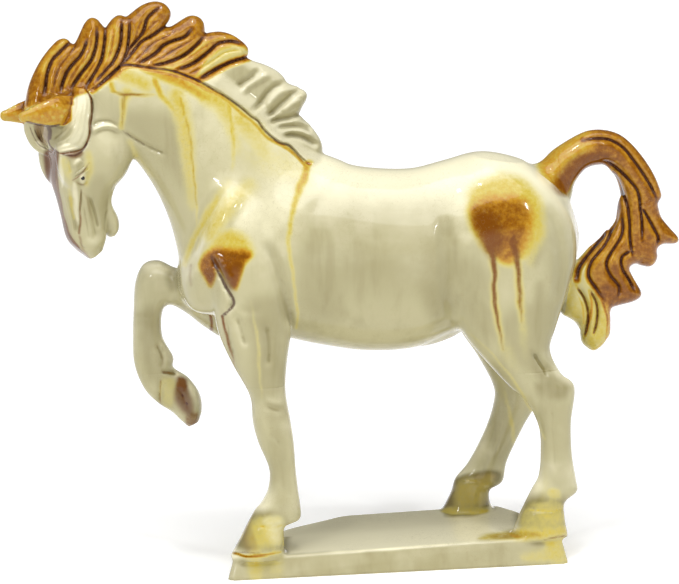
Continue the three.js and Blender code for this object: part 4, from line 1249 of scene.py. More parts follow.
def side_view(places):
    """Places of the picture laid onto the figure's middle, as x and z."""
    back, right, up = view_axes()
    eye = VIEW_TARGET + back * VIEW_DISTANCE
    across = places[:, :1] - PICTURE_WIDTH / 2
    down = places[:, 1:] - PICTURE_HEIGHT / 2
    sight = -back * VIEW_FOCUS + right * across - up * down
    landed = eye - sight * (eye[1] / sight[:, 1:2])
    return landed[:, [0, 2]]


def carved_through(points):
    """True for points of the far legs and of the face's far half, which the picture shows."""
    x = points[:, 0] / SHARE
    z = (points[:, 2] - CARVING_LEVEL) / SHARE
    hind_leg = (x > FAR_HINDLEG_FROM) & (z < FAR_LEG_TOP)
    fore_leg = (x < RAISED_LEG_FROM) & (z < RAISED_LEG_TOP)
    ahead = turned(points, -1)
    profile = np.array(HEAD_RIBS)[::-1]
    face = ahead[:, 0] / SHARE < np.interp(z, profile[:, 1], profile[:, 0]) + FACE_DEPTH
    on_face = face & (ahead[:, 1] > 0) & (z > RAISED_LEG_TOP) & (z < FACE_TOP)
    return (points[:, 1] > 0) & (hind_leg | fore_leg) | on_face


def folded(points):
    """The far side laid over to the near side, so that both are carved from one drawing."""
    places = to_side_view(points)
    on_head = inside(places, HEAD_OUTLINE)
    straight = np.where(on_head[:, None], turned(points, -1), points)
    straight[:, 1] = -np.abs(straight[:, 1])
    laid = np.where(on_head[:, None], turned(straight), straight)
    return np.where(carved_through(points)[:, None], points, laid)


def to_side_view(points):
    """The place of points in side view, in shares."""
    return np.stack([points[:, 0], points[:, 2] - CARVING_LEVEL], -1) / SHARE


def smooth_line(line):
    return curve_through(line, CURVE_STEPS) if len(line) > 2 else np.array(line, float)


def smooth_closed(outline):
    """A closed outline as a smooth line of more points."""
    wrapped = [outline[-1], *outline, outline[0], outline[1]]
    return curve_through(wrapped, OUTLINE_STEPS)[OUTLINE_STEPS:-OUTLINE_STEPS]


def to_line(places, line):
    """How far places are from a line, and how far along it, from 0 to 1."""
    best = np.full(len(places), np.inf)
    along = np.zeros(len(places))
    lengths = np.hypot(*np.diff(line, axis=0).T)
    total = lengths.sum()
    passed = 0
    for start, end, length in zip(line, line[1:], lengths):
        if length == 0:
            continue
        step = (end - start) / length
        reach = places - start
        run = np.clip(reach @ step, 0, length)
        distance = np.hypot(reach[:, 0] - run * step[0], reach[:, 1] - run * step[1])
        closer = distance < best
        best[closer] = distance[closer]
        along[closer] = (passed + run[closer]) / total
        passed += length
    return best, along


def inside(places, outline):
    """True for places within a closed outline."""
    crossed = np.zeros(len(places), bool)
    for (x1, y1), (x2, y2) in zip(outline, np.roll(outline, -1, axis=0)):
        if y1 == y2:
            continue
        level = (places[:, 1] > y1) != (places[:, 1] > y2)
        crossed ^= level & (places[:, 0] < (x2 - x1) * (places[:, 1] - y1) / (y2 - y1) + x1)
    return crossed


def outline_distance(places, outline):
    """Distance to a closed outline, negative inside it."""
    outline = np.array(outline, float)
    closed = np.vstack([outline, outline[:1]])
    distance = to_line(places, closed)[0]
    return np.where(inside(places, outline), -distance, distance)


def smooth_step(value, start, end):
    place = np.clip((value - start) / (end - start), 0, 1)
    return place * place * (3 - 2 * place)


def ends_fade(along, share):
    """1 along most of a stroke, falling to 0 at its ends."""
    if share == 0:
        return 1
    return smooth_step(along, -0.02, share) * smooth_step(1 - along, -0.02, share)


class Drawing:
    """A sheet of values over the picture, drawn with strokes and patches."""

    def __init__(self):
        self.sheet = np.zeros((PICTURE_HEIGHT * FINENESS, PICTURE_WIDTH * FINENESS), np.float32)

    def window(self, line, margin):
        """The part of the sheet round a line, and the places of its points."""
        height, width = self.sheet.shape
        low = np.floor((line.min(0) - margin) * FINENESS).astype(int)
        high = np.ceil((line.max(0) + margin) * FINENESS).astype(int) + 1
        columns = np.arange(max(low[0], 0), min(high[0], width))
        rows = np.arange(max(low[1], 0), min(high[1], height))
        across, down = np.meshgrid(columns / FINENESS, rows / FINENESS)
        part = self.sheet[rows[0]:rows[-1] + 1, columns[0]:columns[-1] + 1]
        return part, np.stack([across.ravel(), down.ravel()], -1)

    def stroke(self, line, half_width, value, mix=np.maximum, fade=0.2):
        """A soft stroke of a value along a line."""
        line = smooth_line(line)
        part, places = self.window(line, half_width)
        distance, along = to_line(places, line)
        profile = np.clip(1 - (distance / half_width) ** 2, 0, 1) ** 2 * ends_fade(along, fade)
        part[...] = mix(part, (value * profile).reshape(part.shape))

    def run(self, line, half_widths, values, mix=np.maximum):
        """A stroke whose half width and value change along the line."""
        line = smooth_line(line)
        spread = PALE_SPREAD if max(values) < PALE_VALUE else 1.0
        part, places = self.window(line, max(half_widths) * spread)
        distance, along = to_line(places, line)
        steps = np.linspace(0, 1, len(half_widths))
        half_width = np.interp(along, steps, half_widths) * spread
        value = np.interp(along, np.linspace(0, 1, len(values)), values)
        profile = smooth_step(1 - distance / half_width, 0, 1.0)
        part[...] = mix(part, (value * profile).reshape(part.shape))

    def bands(self, lines, core, edge, value):
        """Bands of a value along lines, full within their core and gone at their edge."""
        part, places = self.window(np.vstack([np.array(line) for line in lines]), edge)
        nearest = np.full(len(places), edge, float)
        for line in lines:
            nearest = np.minimum(nearest, to_line(places, smooth_line(line))[0])
        np.maximum(part, (value * (1 - smooth_step(nearest, core, edge))).reshape(part.shape), out=part)

    def patch(self, outline, value, soft):
        """A filled patch with a soft edge, laid over what is there."""
        outline = smooth_closed(outline)
        part, places = self.window(outline, soft)
        cover = smooth_step(-outline_distance(places, outline), -soft, soft).reshape(part.shape)
        part += (value - part) * cover

    def at(self, places):
        height, width = self.sheet.shape
        across = np.clip(places[:, 0] * FINENESS, 0, width - 1.001)
        down = np.clip(places[:, 1] * FINENESS, 0, height - 1.001)
        column = across.astype(int)
        row = down.astype(int)
        u = across - column
        v = down - row
        sheet = self.sheet
        return (
            sheet[row, column] * (1 - u) * (1 - v)
            + sheet[row, column + 1] * u * (1 - v)
            + sheet[row + 1, column] * (1 - u) * v
            + sheet[row + 1, column + 1] * u * v
        )


def evened(line, count):
    """A line's shape as evenly spaced points."""
    line = smooth_line(line)
    lengths = np.concatenate([[0], np.cumsum(np.hypot(*np.diff(line, axis=0).T))])
    places = np.linspace(0, lengths[-1], count)
    return np.stack([np.interp(places, lengths, line[:, axis]) for axis in (0, 1)], -1)


def lines_between(first, last, count):
    """Lines spaced between two others that run alongside each other."""
    first = evened(first, EVEN_POINTS)
    last = evened(last, EVEN_POINTS)
    shares = (np.arange(count) + 1) / (count + 1)
    return [first + (last - first) * share for share in shares]


def draw_locks(grooves, depth):
    """The hair between grooves, rounded into locks."""
    drawing = Drawing()
    outline = np.vstack([np.array(groove) for groove in grooves])
    part, places = drawing.window(outline, LOCK_WIDTH)
    nearest = np.full(len(places), LOCK_WIDTH, float)
    weight = np.zeros(len(places))
    for groove in grooves:
        distance, along = to_line(places, smooth_line(groove))
        closer = distance < nearest
        nearest[closer] = distance[closer]
        weight[closer] = ends_fade(along[closer], LOCK_FADE)
    rise = np.sqrt(np.clip(1 - (1 - nearest / LOCK_WIDTH) ** 2, 0, 1))
    part[...] = np.minimum(part, (-depth * weight * (1 - rise)).reshape(part.shape))
    return drawing


def draw_relief():
    """Heights over the figure, in metres."""
    settings = bpy.context.scene.carving
    relief = Drawing()
    for height, half_width, line in CARVING + HEAD_CARVING + MANE_FOLDS:
        relief.stroke(line, half_width, height * MM, mix=np.add)
    mane = draw_locks(MANE_GROOVES, settings.lock_depth)
    tail = draw_locks(TAIL_GROOVES, settings.lock_depth)
    fine = Drawing()
    for first, last in zip(MANE_GROOVES, MANE_GROOVES[1:]):
        for line in lines_between(first, last, 1):
            fine.stroke(line, *LOCK_HAIR, mix=np.minimum)
    for x, y in DROPS:
        relief.stroke([(x - 0.5, y), (x + 0.5, y + 0.3)], *DROP_STROKE, mix=np.add, fade=0)
    for line in lines_between(FORELOCK_OUTER, FORELOCK_INNER, FORELOCK_HAIRS) + FAR_FORELOCK_HAIRS:
        fine.stroke(line, *FORELOCK_HAIR, mix=np.minimum, fade=0.08)
    fine.stroke(FORELOCK_OUTER, *FORELOCK_EDGE, mix=np.minimum, fade=0.05)
    fine.stroke(CREST_CREASE, *CREST_STROKE, mix=np.minimum, fade=0.03)
    for drawing in (mane, tail, fine):
        relief.sheet += drawing.sheet
    return relief


# Skinning the field in pieces

def region_distance(xs, zs, outline):
    """Distance to an outline in side view over a grid of x and z, negative inside, in metres."""
    across, up = np.meshgrid(xs / SHARE, (zs - CARVING_LEVEL) / SHARE, indexing="ij")
    places = np.stack([across.ravel(), up.ravel()], -1)
    return (outline_distance(places, outline) * SHARE).reshape(across.shape)[:, None, :]


_kept = {}


def kept(name, make):
    """Makes a thing once and keeps it."""
    if name not in _kept:
        _kept[name] = make()
    return _kept[name]


def carve(low, high, cell, within=(), without=(), above=None, below=None):
    """A block of the figure between two corners, cut to the outlines that it is within and without."""
    block = Block(low, high, cell)
    for form, blend in kept("forms", figure_forms):
        block.add(form, blend)
    block.add_hair(
        MANE_SHAPE, MANE_FOOT, MANE_FOOT_DEPTH, MANE_TIP_DEPTH, MANE_REACH, MANE_ROUNDING, MANE_BLEND * MM)
    block.add_hair(
        TAIL_SHAPE, TAIL_ROOT, TAIL_ROOT_DEPTH, TAIL_TIP_DEPTH, TAIL_REACH, TAIL_ROUNDING, TAIL_BLEND * MM)
    near = np.nonzero(np.abs(block.field) < RELIEF_REACH)
    points = block.low + np.stack(near, -1) * block.cell
    block.field[near] -= kept("relief", draw_relief).at(picture_places(folded(points)))
    block.uncut = block.field
    xs, _, zs = block.axes()
    for outline in within:
        block.part_at(region_distance(xs, zs, outline))
    for outline in without:
        block.part_at(-region_distance(xs, zs, outline))
    slope = plinth_top(1.0) - plinth_top(0.0)
    height = zs[None, None, :] - slope * xs[:, None, None]
    if above is not None:
        block.part_at(above - height)
    if below is not None:
        block.part_at(height - below)
    return block


def neighbour_sums(points, edges):
    total = np.zeros_like(points)
    count = np.bincount(edges.ravel(), minlength=len(points))
    for axis in range(3):
        total[:, axis] = (
            np.bincount(edges[:, 0], points[edges[:, 1], axis], len(points))
            + np.bincount(edges[:, 1], points[edges[:, 0], axis], len(points))
        )
    return total / count[:, None]


def eased(points, quads, rounds):
    """Points smoothed without shrinking."""
    edges = np.vstack([quads[:, [0, 1]], quads[:, [1, 2]], quads[:, [2, 3]], quads[:, [3, 0]]])
    edges = np.unique(np.sort(edges, axis=1), axis=0)
    for _ in range(rounds):
        for share in EASING:
            points = points + share * (neighbour_sums(points, edges) - points)
    return points


def ripple(points, scale, seed):
    """A smooth wandering value between about -1 and 1."""
    turn = np.random.default_rng(seed)
    total = np.zeros(len(points))
    for number in range(WANDER_WAVES):
        heading = turn.normal(size=3)
        heading /= np.linalg.norm(heading)
        total += np.sin(points @ heading / scale * (1 + number * 0.6) + turn.uniform(0, 6.28))
    return total / 3


def near_ears(points):
    """How deep points lie within the ears' own space, 1 at its middle and 0 outside it."""
    rows = curve_through(EAR, CURVE_STEPS)
    middle = placed(rows[:, 0], rows[:, 2], rows[:, 1])
    points = turned(points, -1)
    points[:, 1] = np.abs(points[:, 1])
    best = np.zeros(len(points))
    for centre, size in zip(middle, rows[:, 3] * SHARE * EAR_SWELL):
        best = np.maximum(best, 1 - np.linalg.norm(points - centre, axis=1) / size)
    return np.clip(best, 0, 1)


def make_piece(name, block, rounds=2):
    points, quads = block.surface()
    points = eased(points, quads, rounds)
    mesh = bpy.data.meshes.new(name)
    mesh.from_pydata(points.tolist(), [], quads.tolist())
    mesh.update()
    if signed_volume(points, quads) < 0:
        mesh.flip_normals()
    mesh.polygons.foreach_set("use_smooth", np.ones(len(mesh.polygons), bool))
    colour_piece(mesh, points, block)
    piece = bpy.data.objects.new(name, mesh)
    bpy.context.collection.objects.link(piece)
    piece.data.materials.append(kept("glaze", glaze_material))
    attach(piece, "root")
    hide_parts("horse")


def signed_volume(points, quads):
    a, b, c, d = (points[quads[:, corner]] for corner in range(4))
    return np.einsum("ij,ij->", a, np.cross(b, c)) + np.einsum("ij,ij->", a, np.cross(c, d))


# Where the glazes lie

def draw_glaze(patches=(), runs=()):
    """A glaze's strength over the picture, from patches and then from runs."""
    glaze = Drawing()
    for outline, value, soft in patches:
        glaze.patch(outline, value, soft)
    for line, half_widths, values in runs:
        glaze.run(line, half_widths, values)
    return glaze


def draw_hair_stain():
    stain = draw_glaze(HAIR_PATCHES, HAIR_RUNS)
    # Bands along the grooves: partly gathered glaze, partly painted shade.
    for grooves in (MANE_GROOVES, TAIL_GROOVES[:-PALE_TUFT_GROOVES]):
        stain.bands(grooves, BAND_CORE, BAND_EDGE, GROOVE_STAIN_AND_SHADE)
    stain.bands(TAIL_GROOVES[-PALE_TUFT_GROOVES:], BAND_CORE, PALE_TUFT_EDGE, PALE_TUFT_STAIN)
    return stain


def draw_dark_lines():
    dark = Drawing()
    # Dark lines in the grooves: partly dark glaze, partly painted shade.
    rows = [(groove, *MANE_LINE) for groove in MANE_GROOVES]
    rows += [(groove, *TAIL_LINE) for groove in TAIL_GROOVES]
    for line, half_width, value in rows + DARK_LINES:
        dark.stroke(line, half_width, value, fade=DARK_FADE)
    return dark


def colour_piece(mesh, points, block):
    """Gives every point its glazes, its painted shade and highlight, and how hollow it lies."""
    wander = np.stack([ripple(points, WANDER_LENGTH, seed) for seed in (1, 2)], -1) * WANDER
    places = picture_places(folded(points))
    far = (points[:, 1] > 0) & ~carved_through(points)
    shifted = places + wander + np.where(far, 1, 0)[:, None] * np.array(FAR_SIDE_SHIFT)
    hair = kept("hair stain", draw_hair_stain).at(places + wander * HAIR_WANDER)
    rump = (points[:, 0] > 0) & (np.abs(points[:, 1]) > TUFT_DEPTH)
    if mesh.name == "trunk":
        rump |= places[:, 1] > RUMP_FROM
    hair[rump] = 0
    dark = kept("dark", draw_dark_lines).at(places)
    dark[(points[:, 0] > 0) & rump] = 0
    left = smooth_step(EAR_COLUMN - places[:, 0], -EAR_COLUMN_SOFT, EAR_COLUMN_SOFT)
    ears = smooth_step(near_ears(points), *EAR_EDGE) * left
    hair = np.maximum(hair, EAR_STAIN * ears)
    body = kept("body runs", lambda: draw_glaze(runs=BODY_RUNS)).at(shifted)
    body = np.maximum(body, kept("body patches", lambda: draw_glaze(BODY_PATCHES)).at(shifted))
    blurred = block.blurred(HOLLOW_REACH)
    values = {
        "stain": np.maximum(hair, body),
        "dark": dark,
        "mauve": kept("mauve", lambda: draw_glaze(MAUVE_PATCHES)).at(places),
        "thick": kept("thick", lambda: draw_glaze(OLIVE_SHADE_AND_HIGHLIGHT_PATCHES)).at(shifted),
        "umber": kept("umber", lambda: draw_glaze(UMBER_PATCHES, UMBER_RUNS)).at(shifted),
        "hollow": np.clip(-block.sample(blurred, points) / HOLLOW_DEPTH, -1, 1),
    }
    for name, value in values.items():
        layer = mesh.attributes.new(name, "FLOAT", "POINT")
        layer.data.foreach_set("value", value.astype(np.float32))


# Glaze

class Nodes:
    """Shorthand for building a material."""

    def __init__(self, name):
        self.material = bpy.data.materials.new(name)
        self.material.use_nodes = True
        self.tree = self.material.node_tree
        self.shader = self.tree.nodes["Principled BSDF"]

    def add(self, kind, inputs=None, **settings):
        node = self.tree.nodes.new(kind)
        for name, value in settings.items():
            setattr(node, name, value)
        for name, value in (inputs or {}).items():
            self.feed(node.inputs[name], value)
        return node

    def feed(self, socket, value):
        if isinstance(value, bpy.types.NodeSocket):
            self.tree.links.new(value, socket)
        else:
            socket.default_value = value

    def surface(self, settings):
        """Sets the shader's uniform values."""
        for name, value in settings.items():
            self.shader.inputs[name].default_value = value

    def value(self, name):
        """A value stored on the mesh's points."""
        return self.add("ShaderNodeAttribute", attribute_name=name).outputs["Fac"]

    def maths(self, operation, first, second=0.0, third=0.0, clamp=False):
        node = self.add("ShaderNodeMath", operation=operation, use_clamp=clamp)
        for socket, value in zip(node.inputs, (first, second, third)):
            self.feed(socket, value)
        return node.outputs[0]

    def between(self, value, low, high, start=0.0, end=1.0):
        return self.add("ShaderNodeMapRange", {
            "Value": value, "From Min": low, "From Max": high, "To Min": start, "To Max": end,
        }, interpolation_type="SMOOTHSTEP").outputs["Result"]

    def mix(self, share, first, second):
        node = self.add("ShaderNodeMix", data_type="RGBA")
        self.feed(node.inputs["Factor"], share)
        self.feed(node.inputs["A"], first)
        self.feed(node.inputs["B"], second)
        return node.outputs["Result"]

    def noise(self, scale, detail=2.0, roughness=0.5, where=None):
        node = self.add("ShaderNodeTexNoise", {"Scale": scale, "Detail": detail, "Roughness": roughness})
        if where is not None:
            self.feed(node.inputs["Vector"], where)
        return node.outputs["Fac"]

    def ramp(self, value, stops):
        node = self.add("ShaderNodeValToRGB", {"Fac": value})
        elements = node.color_ramp.elements
        while len(elements) < len(stops):
            elements.new(0.5)
        for element, (place, colour) in zip(elements, stops):
            element.position = place
            element.color = colour
        return node.outputs["Color"]


def glaze_material():
    glazes = bpy.context.scene.glazes
    nodes = Nodes("crazed_lead_glaze")
    where = nodes.add("ShaderNodeTexCoord").outputs["Object"]
    wide = nodes.noise(*WAVES, where)
    fine = nodes.noise(*GRAIN, where)
    hollow = nodes.value("hollow")
    stain = nodes.value("stain")
    dark = nodes.value("dark")
    mauve = nodes.value("mauve")

    facing = nodes.add("ShaderNodeSeparateXYZ", {0: nodes.add("ShaderNodeNewGeometry").outputs["Normal"]})
    upward = nodes.maths("MULTIPLY_ADD", nodes.maths("SUBTRACT", wide, 0.5), WAVE_TILT, facing.outputs["Z"])
    # The patches' olive glaze, painted shade and, below 0, painted highlight.
    patched_olive_shade_highlight = nodes.value("thick")
    # Cream is painted lighter, towards ivory, where the surface faces up: a painted top light. Patches below
    # 0 add painted highlight.
    painted_topside_light = nodes.maths("MAXIMUM", nodes.between(upward, *TOP_LIGHT_FACING), nodes.between(patched_olive_shade_highlight, 0.0, -1.0))
    cream = nodes.mix(painted_topside_light, glazes.cream, glazes.topside_light_ivory)
    # Olive in hollows: partly glaze pooled there, partly painted shade.
    pooled_and_shaded = nodes.between(hollow, *POOLED_AND_SHADED_HOLLOWS)
    stretch = nodes.add("ShaderNodeVectorMath", {0: where, 1: STREAK_SCALE}, operation="MULTIPLY")
    streak = nodes.between(nodes.noise(*STREAKS, stretch.outputs[0]), *STREAK_EDGE, 0.0, STREAK_THICKNESS)
    thick = nodes.maths("MULTIPLY_ADD", streak, nodes.between(upward, *STREAKED_SIDES), patched_olive_shade_highlight)
    gathered_and_shaded = nodes.maths("MULTIPLY_ADD", pooled_and_shaded, POOLED_OLIVE_AND_SHADE, thick, clamp=True)
    cream = nodes.mix(gathered_and_shaded, cream, glazes.olive_pooled_and_shade)

    wobble = nodes.maths("MULTIPLY_ADD", nodes.maths("SUBTRACT", fine, 0.5), GRAIN_BREAK, 1.0)
    depth = nodes.maths("MULTIPLY", stain, wobble)
    # Stain deepened in hollows: partly pooled glaze, partly painted shade.
    gathered_and_shaded = nodes.maths("MULTIPLY", nodes.maths("MULTIPLY", pooled_and_shaded, depth), POOLED_STAIN_AND_SHADE)
    ridge = nodes.between(hollow, *RIDGES)
    thinned = nodes.maths("MULTIPLY", ridge, nodes.maths("MULTIPLY", depth, RIDGE_THINNING))
    depth = nodes.maths("SUBTRACT", nodes.maths("ADD", depth, gathered_and_shaded), thinned)
    tint = nodes.ramp(depth, [
        (0.0, glazes.cream),
        (STRAW_DEPTH, glazes.straw),
        (YELLOW_DEPTH, glazes.yellow),
        (HONEY_DEPTH, glazes.honey),
        (AMBER_DEPTH, glazes.amber),
        (1.0, glazes.brown),
    ])
    colour = nodes.mix(nodes.between(depth, *STAIN_COVER), cream, tint)
    brown = nodes.between(nodes.maths("MULTIPLY", nodes.value("umber"), wobble), *UMBER_COVER)
    colour = nodes.mix(brown, colour, glazes.umber)
    colour = nodes.mix(mauve, colour, glazes.mauve)
    strength = nodes.between(nodes.maths("MULTIPLY", dark, nodes.maths("ADD", fine, 0.5)), *LINE_COVER)
    colour = nodes.mix(nodes.maths("MULTIPLY", strength, LINE_STRENGTH), colour, glazes.plum)

    bend = nodes.add("ShaderNodeTexNoise", {"Vector": where, "Scale": CRAZING_BEND_SCALE, "Detail": 2})
    bent = nodes.add("ShaderNodeMixRGB", {
        "Fac": CRAZING_BEND, "Color1": where, "Color2": bend.outputs["Color"],
    })
    cells = nodes.add("ShaderNodeTexVoronoi", {
        "Vector": bent.outputs["Color"], "Scale": CRAZING_CELLS,
    }, feature="DISTANCE_TO_EDGE").outputs["Distance"]
    crack = nodes.between(cells, 0.0, CRAZING_WIDTH, 1.0, 0.0)
    crack = nodes.maths("MULTIPLY", crack, nodes.between(nodes.noise(*CRAZED_PATCHES, where), *CRAZED_PARTS))
    colour = nodes.mix(nodes.maths("MULTIPLY", crack, CRAZING_STRENGTH), colour, glazes.crackle)
    nodes.feed(nodes.shader.inputs["Base Color"], colour)

    waves = nodes.maths("MULTIPLY", wide, WAVE_RELIEF)
    relief = nodes.maths("ADD", waves, nodes.maths("MULTIPLY", fine, GRAIN_RELIEF))
    bump = nodes.add("ShaderNodeBump", {
        "Height": relief, "Strength": RELIEF_STRENGTH, "Distance": RELIEF_HEIGHT})
    nodes.feed(nodes.shader.inputs["Normal"], bump.outputs["Normal"])
    nodes.surface(GLAZE_SURFACE)
    return nodes.material


# Pieces

def span(x_low, x_high, side, z_low, z_high):
    """Two corners of a block, given in shares."""
    low = placed(np.array(x_low, float), np.array(-side, float), np.array(z_low, float))
    high = placed(np.array(x_high, float), np.array(side, float), np.array(z_high, float))
    return low, high


def rectangle(left, right):
    """An outline in side view, from the ground to above the figure."""
    return [(left, 0), (right, 0), (right, ABOVE_FIGURE), (left, ABOVE_FIGURE)]


class PotteryOperator:
    bl_options = {"REGISTER", "UNDO"}


class MakeTrunk(PotteryOperator, bpy.types.Operator):
    """Carve the neck, barrel, shoulders and haunches"""
    bl_idname = "pottery.make_trunk"
    bl_label = "Trunk"

    def execute(self, context):
        low, high = span(*TRUNK_BLOCK)
        block = carve(low, high, context.scene.carving.trunk_cell,
                      without=(MANE_OUTLINE, HEAD_OUTLINE, TAIL_OUTLINE), above=LEG_TOP)
        make_piece("trunk", block)
        return {"FINISHED"}


class MakeLegs(PotteryOperator, bpy.types.Operator):
    """Carve the three standing legs and the hoof of the raised one"""
    bl_idname = "pottery.make_legs"
    bl_label = "Legs"

    def execute(self, context):
        low, high = span(*LEGS_BLOCK)
        block = carve(low, high, context.scene.carving.trunk_cell,
                      without=(TAIL_OUTLINE,), above=PLINTH_REACH, below=LEG_TOP)
        make_piece("legs", block)
        return {"FINISHED"}


class MakeHead(PotteryOperator, bpy.types.Operator):
    """Carve the head with its ears and forelock"""
    bl_idname = "pottery.make_head"
    bl_label = "Head"

    def execute(self, context):
        low, high = span(*HEAD_BLOCK)
        block = carve(low, high, context.scene.carving.head_cell, within=(HEAD_OUTLINE,))
        make_piece("head", block)
        make_eyes()
        return {"FINISHED"}


class MakeMane(PotteryOperator, bpy.types.Operator):
    """Carve the mane in two lengths, the amber front and the cream back"""
    bl_idname = "pottery.make_mane"
    bl_label = "Mane"

    def execute(self, context):
        cell = context.scene.carving.hair_cell
        front = rectangle(-PAST_FIGURE, MANE_PARTING)
        back = rectangle(MANE_PARTING, PAST_FIGURE)
        for name, corners, half in (
            ("mane_front", MANE_FRONT_BLOCK, front),
            ("mane_back", MANE_BACK_BLOCK, back),
        ):
            low, high = span(*corners)
            make_piece(name, carve(low, high, cell, within=(MANE_OUTLINE, half)), rounds=1)
        return {"FINISHED"}


class MakeTail(PotteryOperator, bpy.types.Operator):
    """Carve the arched tail with its tufts"""
    bl_idname = "pottery.make_tail"
    bl_label = "Tail"

    def execute(self, context):
        low, high = span(*TAIL_BLOCK)
        block = carve(low, high, context.scene.carving.hair_cell, within=(TAIL_OUTLINE,))
        make_piece("tail", block, rounds=1)
        return {"FINISHED"}


class MakePlinth(PotteryOperator, bpy.types.Operator):
    """Carve the plinth and the glaze that gathers round the hooves"""
    bl_idname = "pottery.make_plinth"
    bl_label = "Plinth"

    def execute(self, context):
        end_x = PLINTH_LENGTH / 2 + PLINTH_MARGIN
        end_y = PLINTH_WIDTH / 2 + PLINTH_MARGIN
        low = np.array([-end_x, -end_y, PLINTH_BLOCK_FLOOR])
        high = np.array([end_x, end_y, PLINTH_BLOCK_TOP])
        cell = context.scene.carving.trunk_cell * PLINTH_CELL_SHARE
        make_piece("plinth", carve(low, high, cell, below=PLINTH_REACH))
        return {"FINISHED"}


def make_eyes():
    """The small dark pupils, set into the lids on both sides of the head."""
    material = Nodes("eye_black")
    material.surface({"Base Color": shade(*EYE_BLACK), **EYE_SURFACE})
    head = bpy.data.objects["head"]
    points = np.zeros(len(head.data.vertices) * 3)
    head.data.vertices.foreach_get("co", points)
    points = points.reshape(-1, 3)
    places = picture_places(folded(points))
    for name, side in (("eye_near", -1), ("eye_far", 1)):
        distance = np.hypot(*(places - EYE_PLACE).T) + np.where(np.sign(points[:, 1]) == side, 0, OTHER_SIDE)
        centre = points[np.argmin(distance - EYE_OUTWARD_PULL * np.abs(points[:, 1]))]
        eye_points, faces = ball(0, 0, 0, 1, 1, 1, 0)
        eye_points = (eye_points - eye_points.mean(0)) / SHARE * EYE_RADIUS
        eye_points[:, 1] *= EYE_FLATNESS
        mesh = bpy.data.meshes.new(name)
        mesh.from_pydata((centre + eye_points).tolist(), [], faces.tolist())
        mesh.polygons.foreach_set("use_smooth", np.ones(len(mesh.polygons), bool))
        eye = bpy.data.objects.new(name, mesh)
        bpy.context.collection.objects.link(eye)
        eye.data.materials.append(material.material)
        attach(eye, "root")


# Stage

def add_light(name, kind, place, power, **shape):
    """A lamp aimed at the middle of the figure."""
    light = bpy.data.lights.new(name, kind)
    light.energy = power
    for setting, value in shape.items():
        setattr(light, setting, value)
    lamp = bpy.data.objects.new(name, light)
    bpy.context.collection.objects.link(lamp)
    lamp.location = place
    aim = Vector(FIGURE_MIDDLE) - Vector(place)
    lamp.rotation_euler = aim.to_track_quat("-Z", "Y").to_euler()


def studio_world(settings):
    """A white horizon under a dimmer dome, by direction alone."""
    world = bpy.data.worlds.new("studio")
    world.use_nodes = True
    nodes = world.node_tree.nodes
    links = world.node_tree.links
    ground = nodes.new("ShaderNodeTexCoord")
    parts = nodes.new("ShaderNodeSeparateXYZ")
    height = nodes.new("ShaderNodeMapRange")
    height.inputs["From Min"].default_value = HORIZON_BAND[0]
    height.inputs["From Max"].default_value = HORIZON_BAND[1]
    height.inputs["To Min"].default_value = settings.horizon
    height.inputs["To Max"].default_value = settings.dome
    links.new(ground.outputs["Generated"], parts.inputs[0])
    links.new(parts.outputs["Z"], height.inputs["Value"])
    links.new(height.outputs["Result"], nodes["Background"].inputs["Strength"])
    nodes["Background"].inputs["Color"].default_value = (1, 1, 1, 1)
    return world


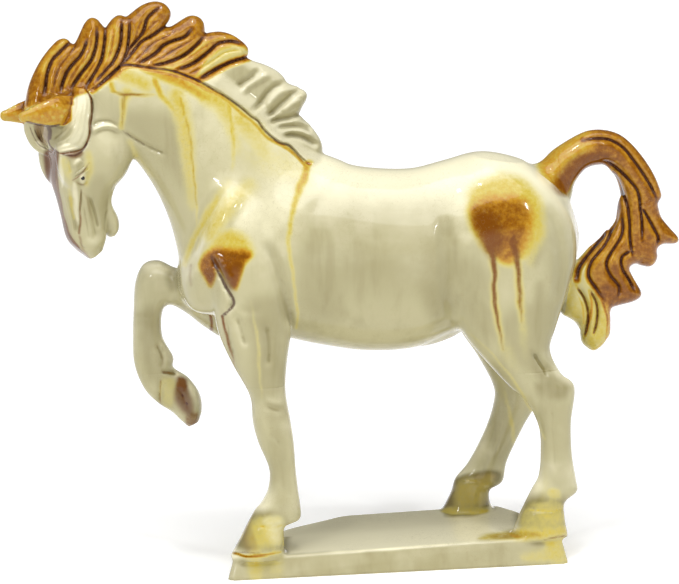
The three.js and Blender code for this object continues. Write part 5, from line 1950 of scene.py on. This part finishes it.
class MakeStage(PotteryOperator, bpy.types.Operator):
    """Lay a pale floor, hang the lights and place the camera"""
    bl_idname = "pottery.make_stage"
    bl_label = "Stage"

    def execute(self, context):
        settings = context.scene.studio
        back = view_axes()[0]
        camera = bpy.data.cameras.new("camera")
        camera.sensor_width = SENSOR_WIDTH
        camera.lens = SENSOR_WIDTH * VIEW_FOCUS / PICTURE_WIDTH
        camera.clip_start = NEAREST_SEEN
        camera.clip_end = FLOOR_REACH * 2
        viewer = bpy.data.objects.new("camera", camera)
        context.collection.objects.link(viewer)
        viewer.location = VIEW_TARGET + back * VIEW_DISTANCE
        viewer.rotation_euler = Vector(-back).to_track_quat("-Z", "Y").to_euler()
        context.scene.camera = viewer

        reach = FLOOR_REACH
        corners = [(-reach, -reach, 0), (reach, -reach, 0), (reach, reach, 0), (-reach, reach, 0)]
        floor_mesh = bpy.data.meshes.new("floor")
        floor_mesh.from_pydata(corners, [], [(0, 1, 2, 3)])
        floor = bpy.data.objects.new("floor", floor_mesh)
        context.collection.objects.link(floor)
        pale = Nodes("pale_floor")
        colours = {"Base Color": settings.floor_colour, "Emission Color": settings.floor_colour}
        pale.surface({**colours, **FLOOR_SURFACE})
        floor.data.materials.append(pale.material)

        context.scene.world = studio_world(settings)
        context.scene.view_settings.view_transform = "Standard"
        add_light("overhead", "SUN", OVERHEAD_PLACE, settings.overhead, angle=OVERHEAD_ANGLE)
        for name, (place, width, height) in LAMPS.items():
            add_light(name, "AREA", place, getattr(settings, name), shape="RECTANGLE", size=width,
                      size_y=height)
        return {"FINISHED"}


class PotteryPanel(bpy.types.Panel):
    """The figure's settings and the steps that make it"""
    bl_idname = "VIEW3D_PT_pottery_horse"
    bl_label = "Pottery horse"
    bl_space_type = "VIEW_3D"
    bl_region_type = "UI"
    bl_category = "Pottery horse"

    def draw(self, context):
        for settings in (getattr(context.scene, group) for group in GROUPS):
            for name in settings.__annotations__:
                self.layout.prop(settings, name)
        for step in STEPS:
            self.layout.operator(step.bl_idname)


STEPS = (MakeStage, MakeTrunk, MakeLegs, MakeHead, MakeMane, MakeTail, MakePlinth)
GROUPS = {
    "plinth": PlinthSettings,
    "carving": CarvingSettings,
    "glazes": GlazeSettings,
    "studio": StudioSettings,
}
CLASSES = (*GROUPS.values(), *STEPS, PotteryPanel)


def register():
    for kind in CLASSES:
        bpy.utils.register_class(kind)
    for group, kind in GROUPS.items():
        setattr(bpy.types.Scene, group, bpy.props.PointerProperty(type=kind))


def unregister():
    for group in GROUPS:
        delattr(bpy.types.Scene, group)
    for kind in reversed(CLASSES):
        bpy.utils.unregister_class(kind)


def main():
    register()
    for step in STEPS:
        group, name = step.bl_idname.split(".")
        getattr(getattr(bpy.ops, group), name)()


if __name__ == "__main__":
    main()
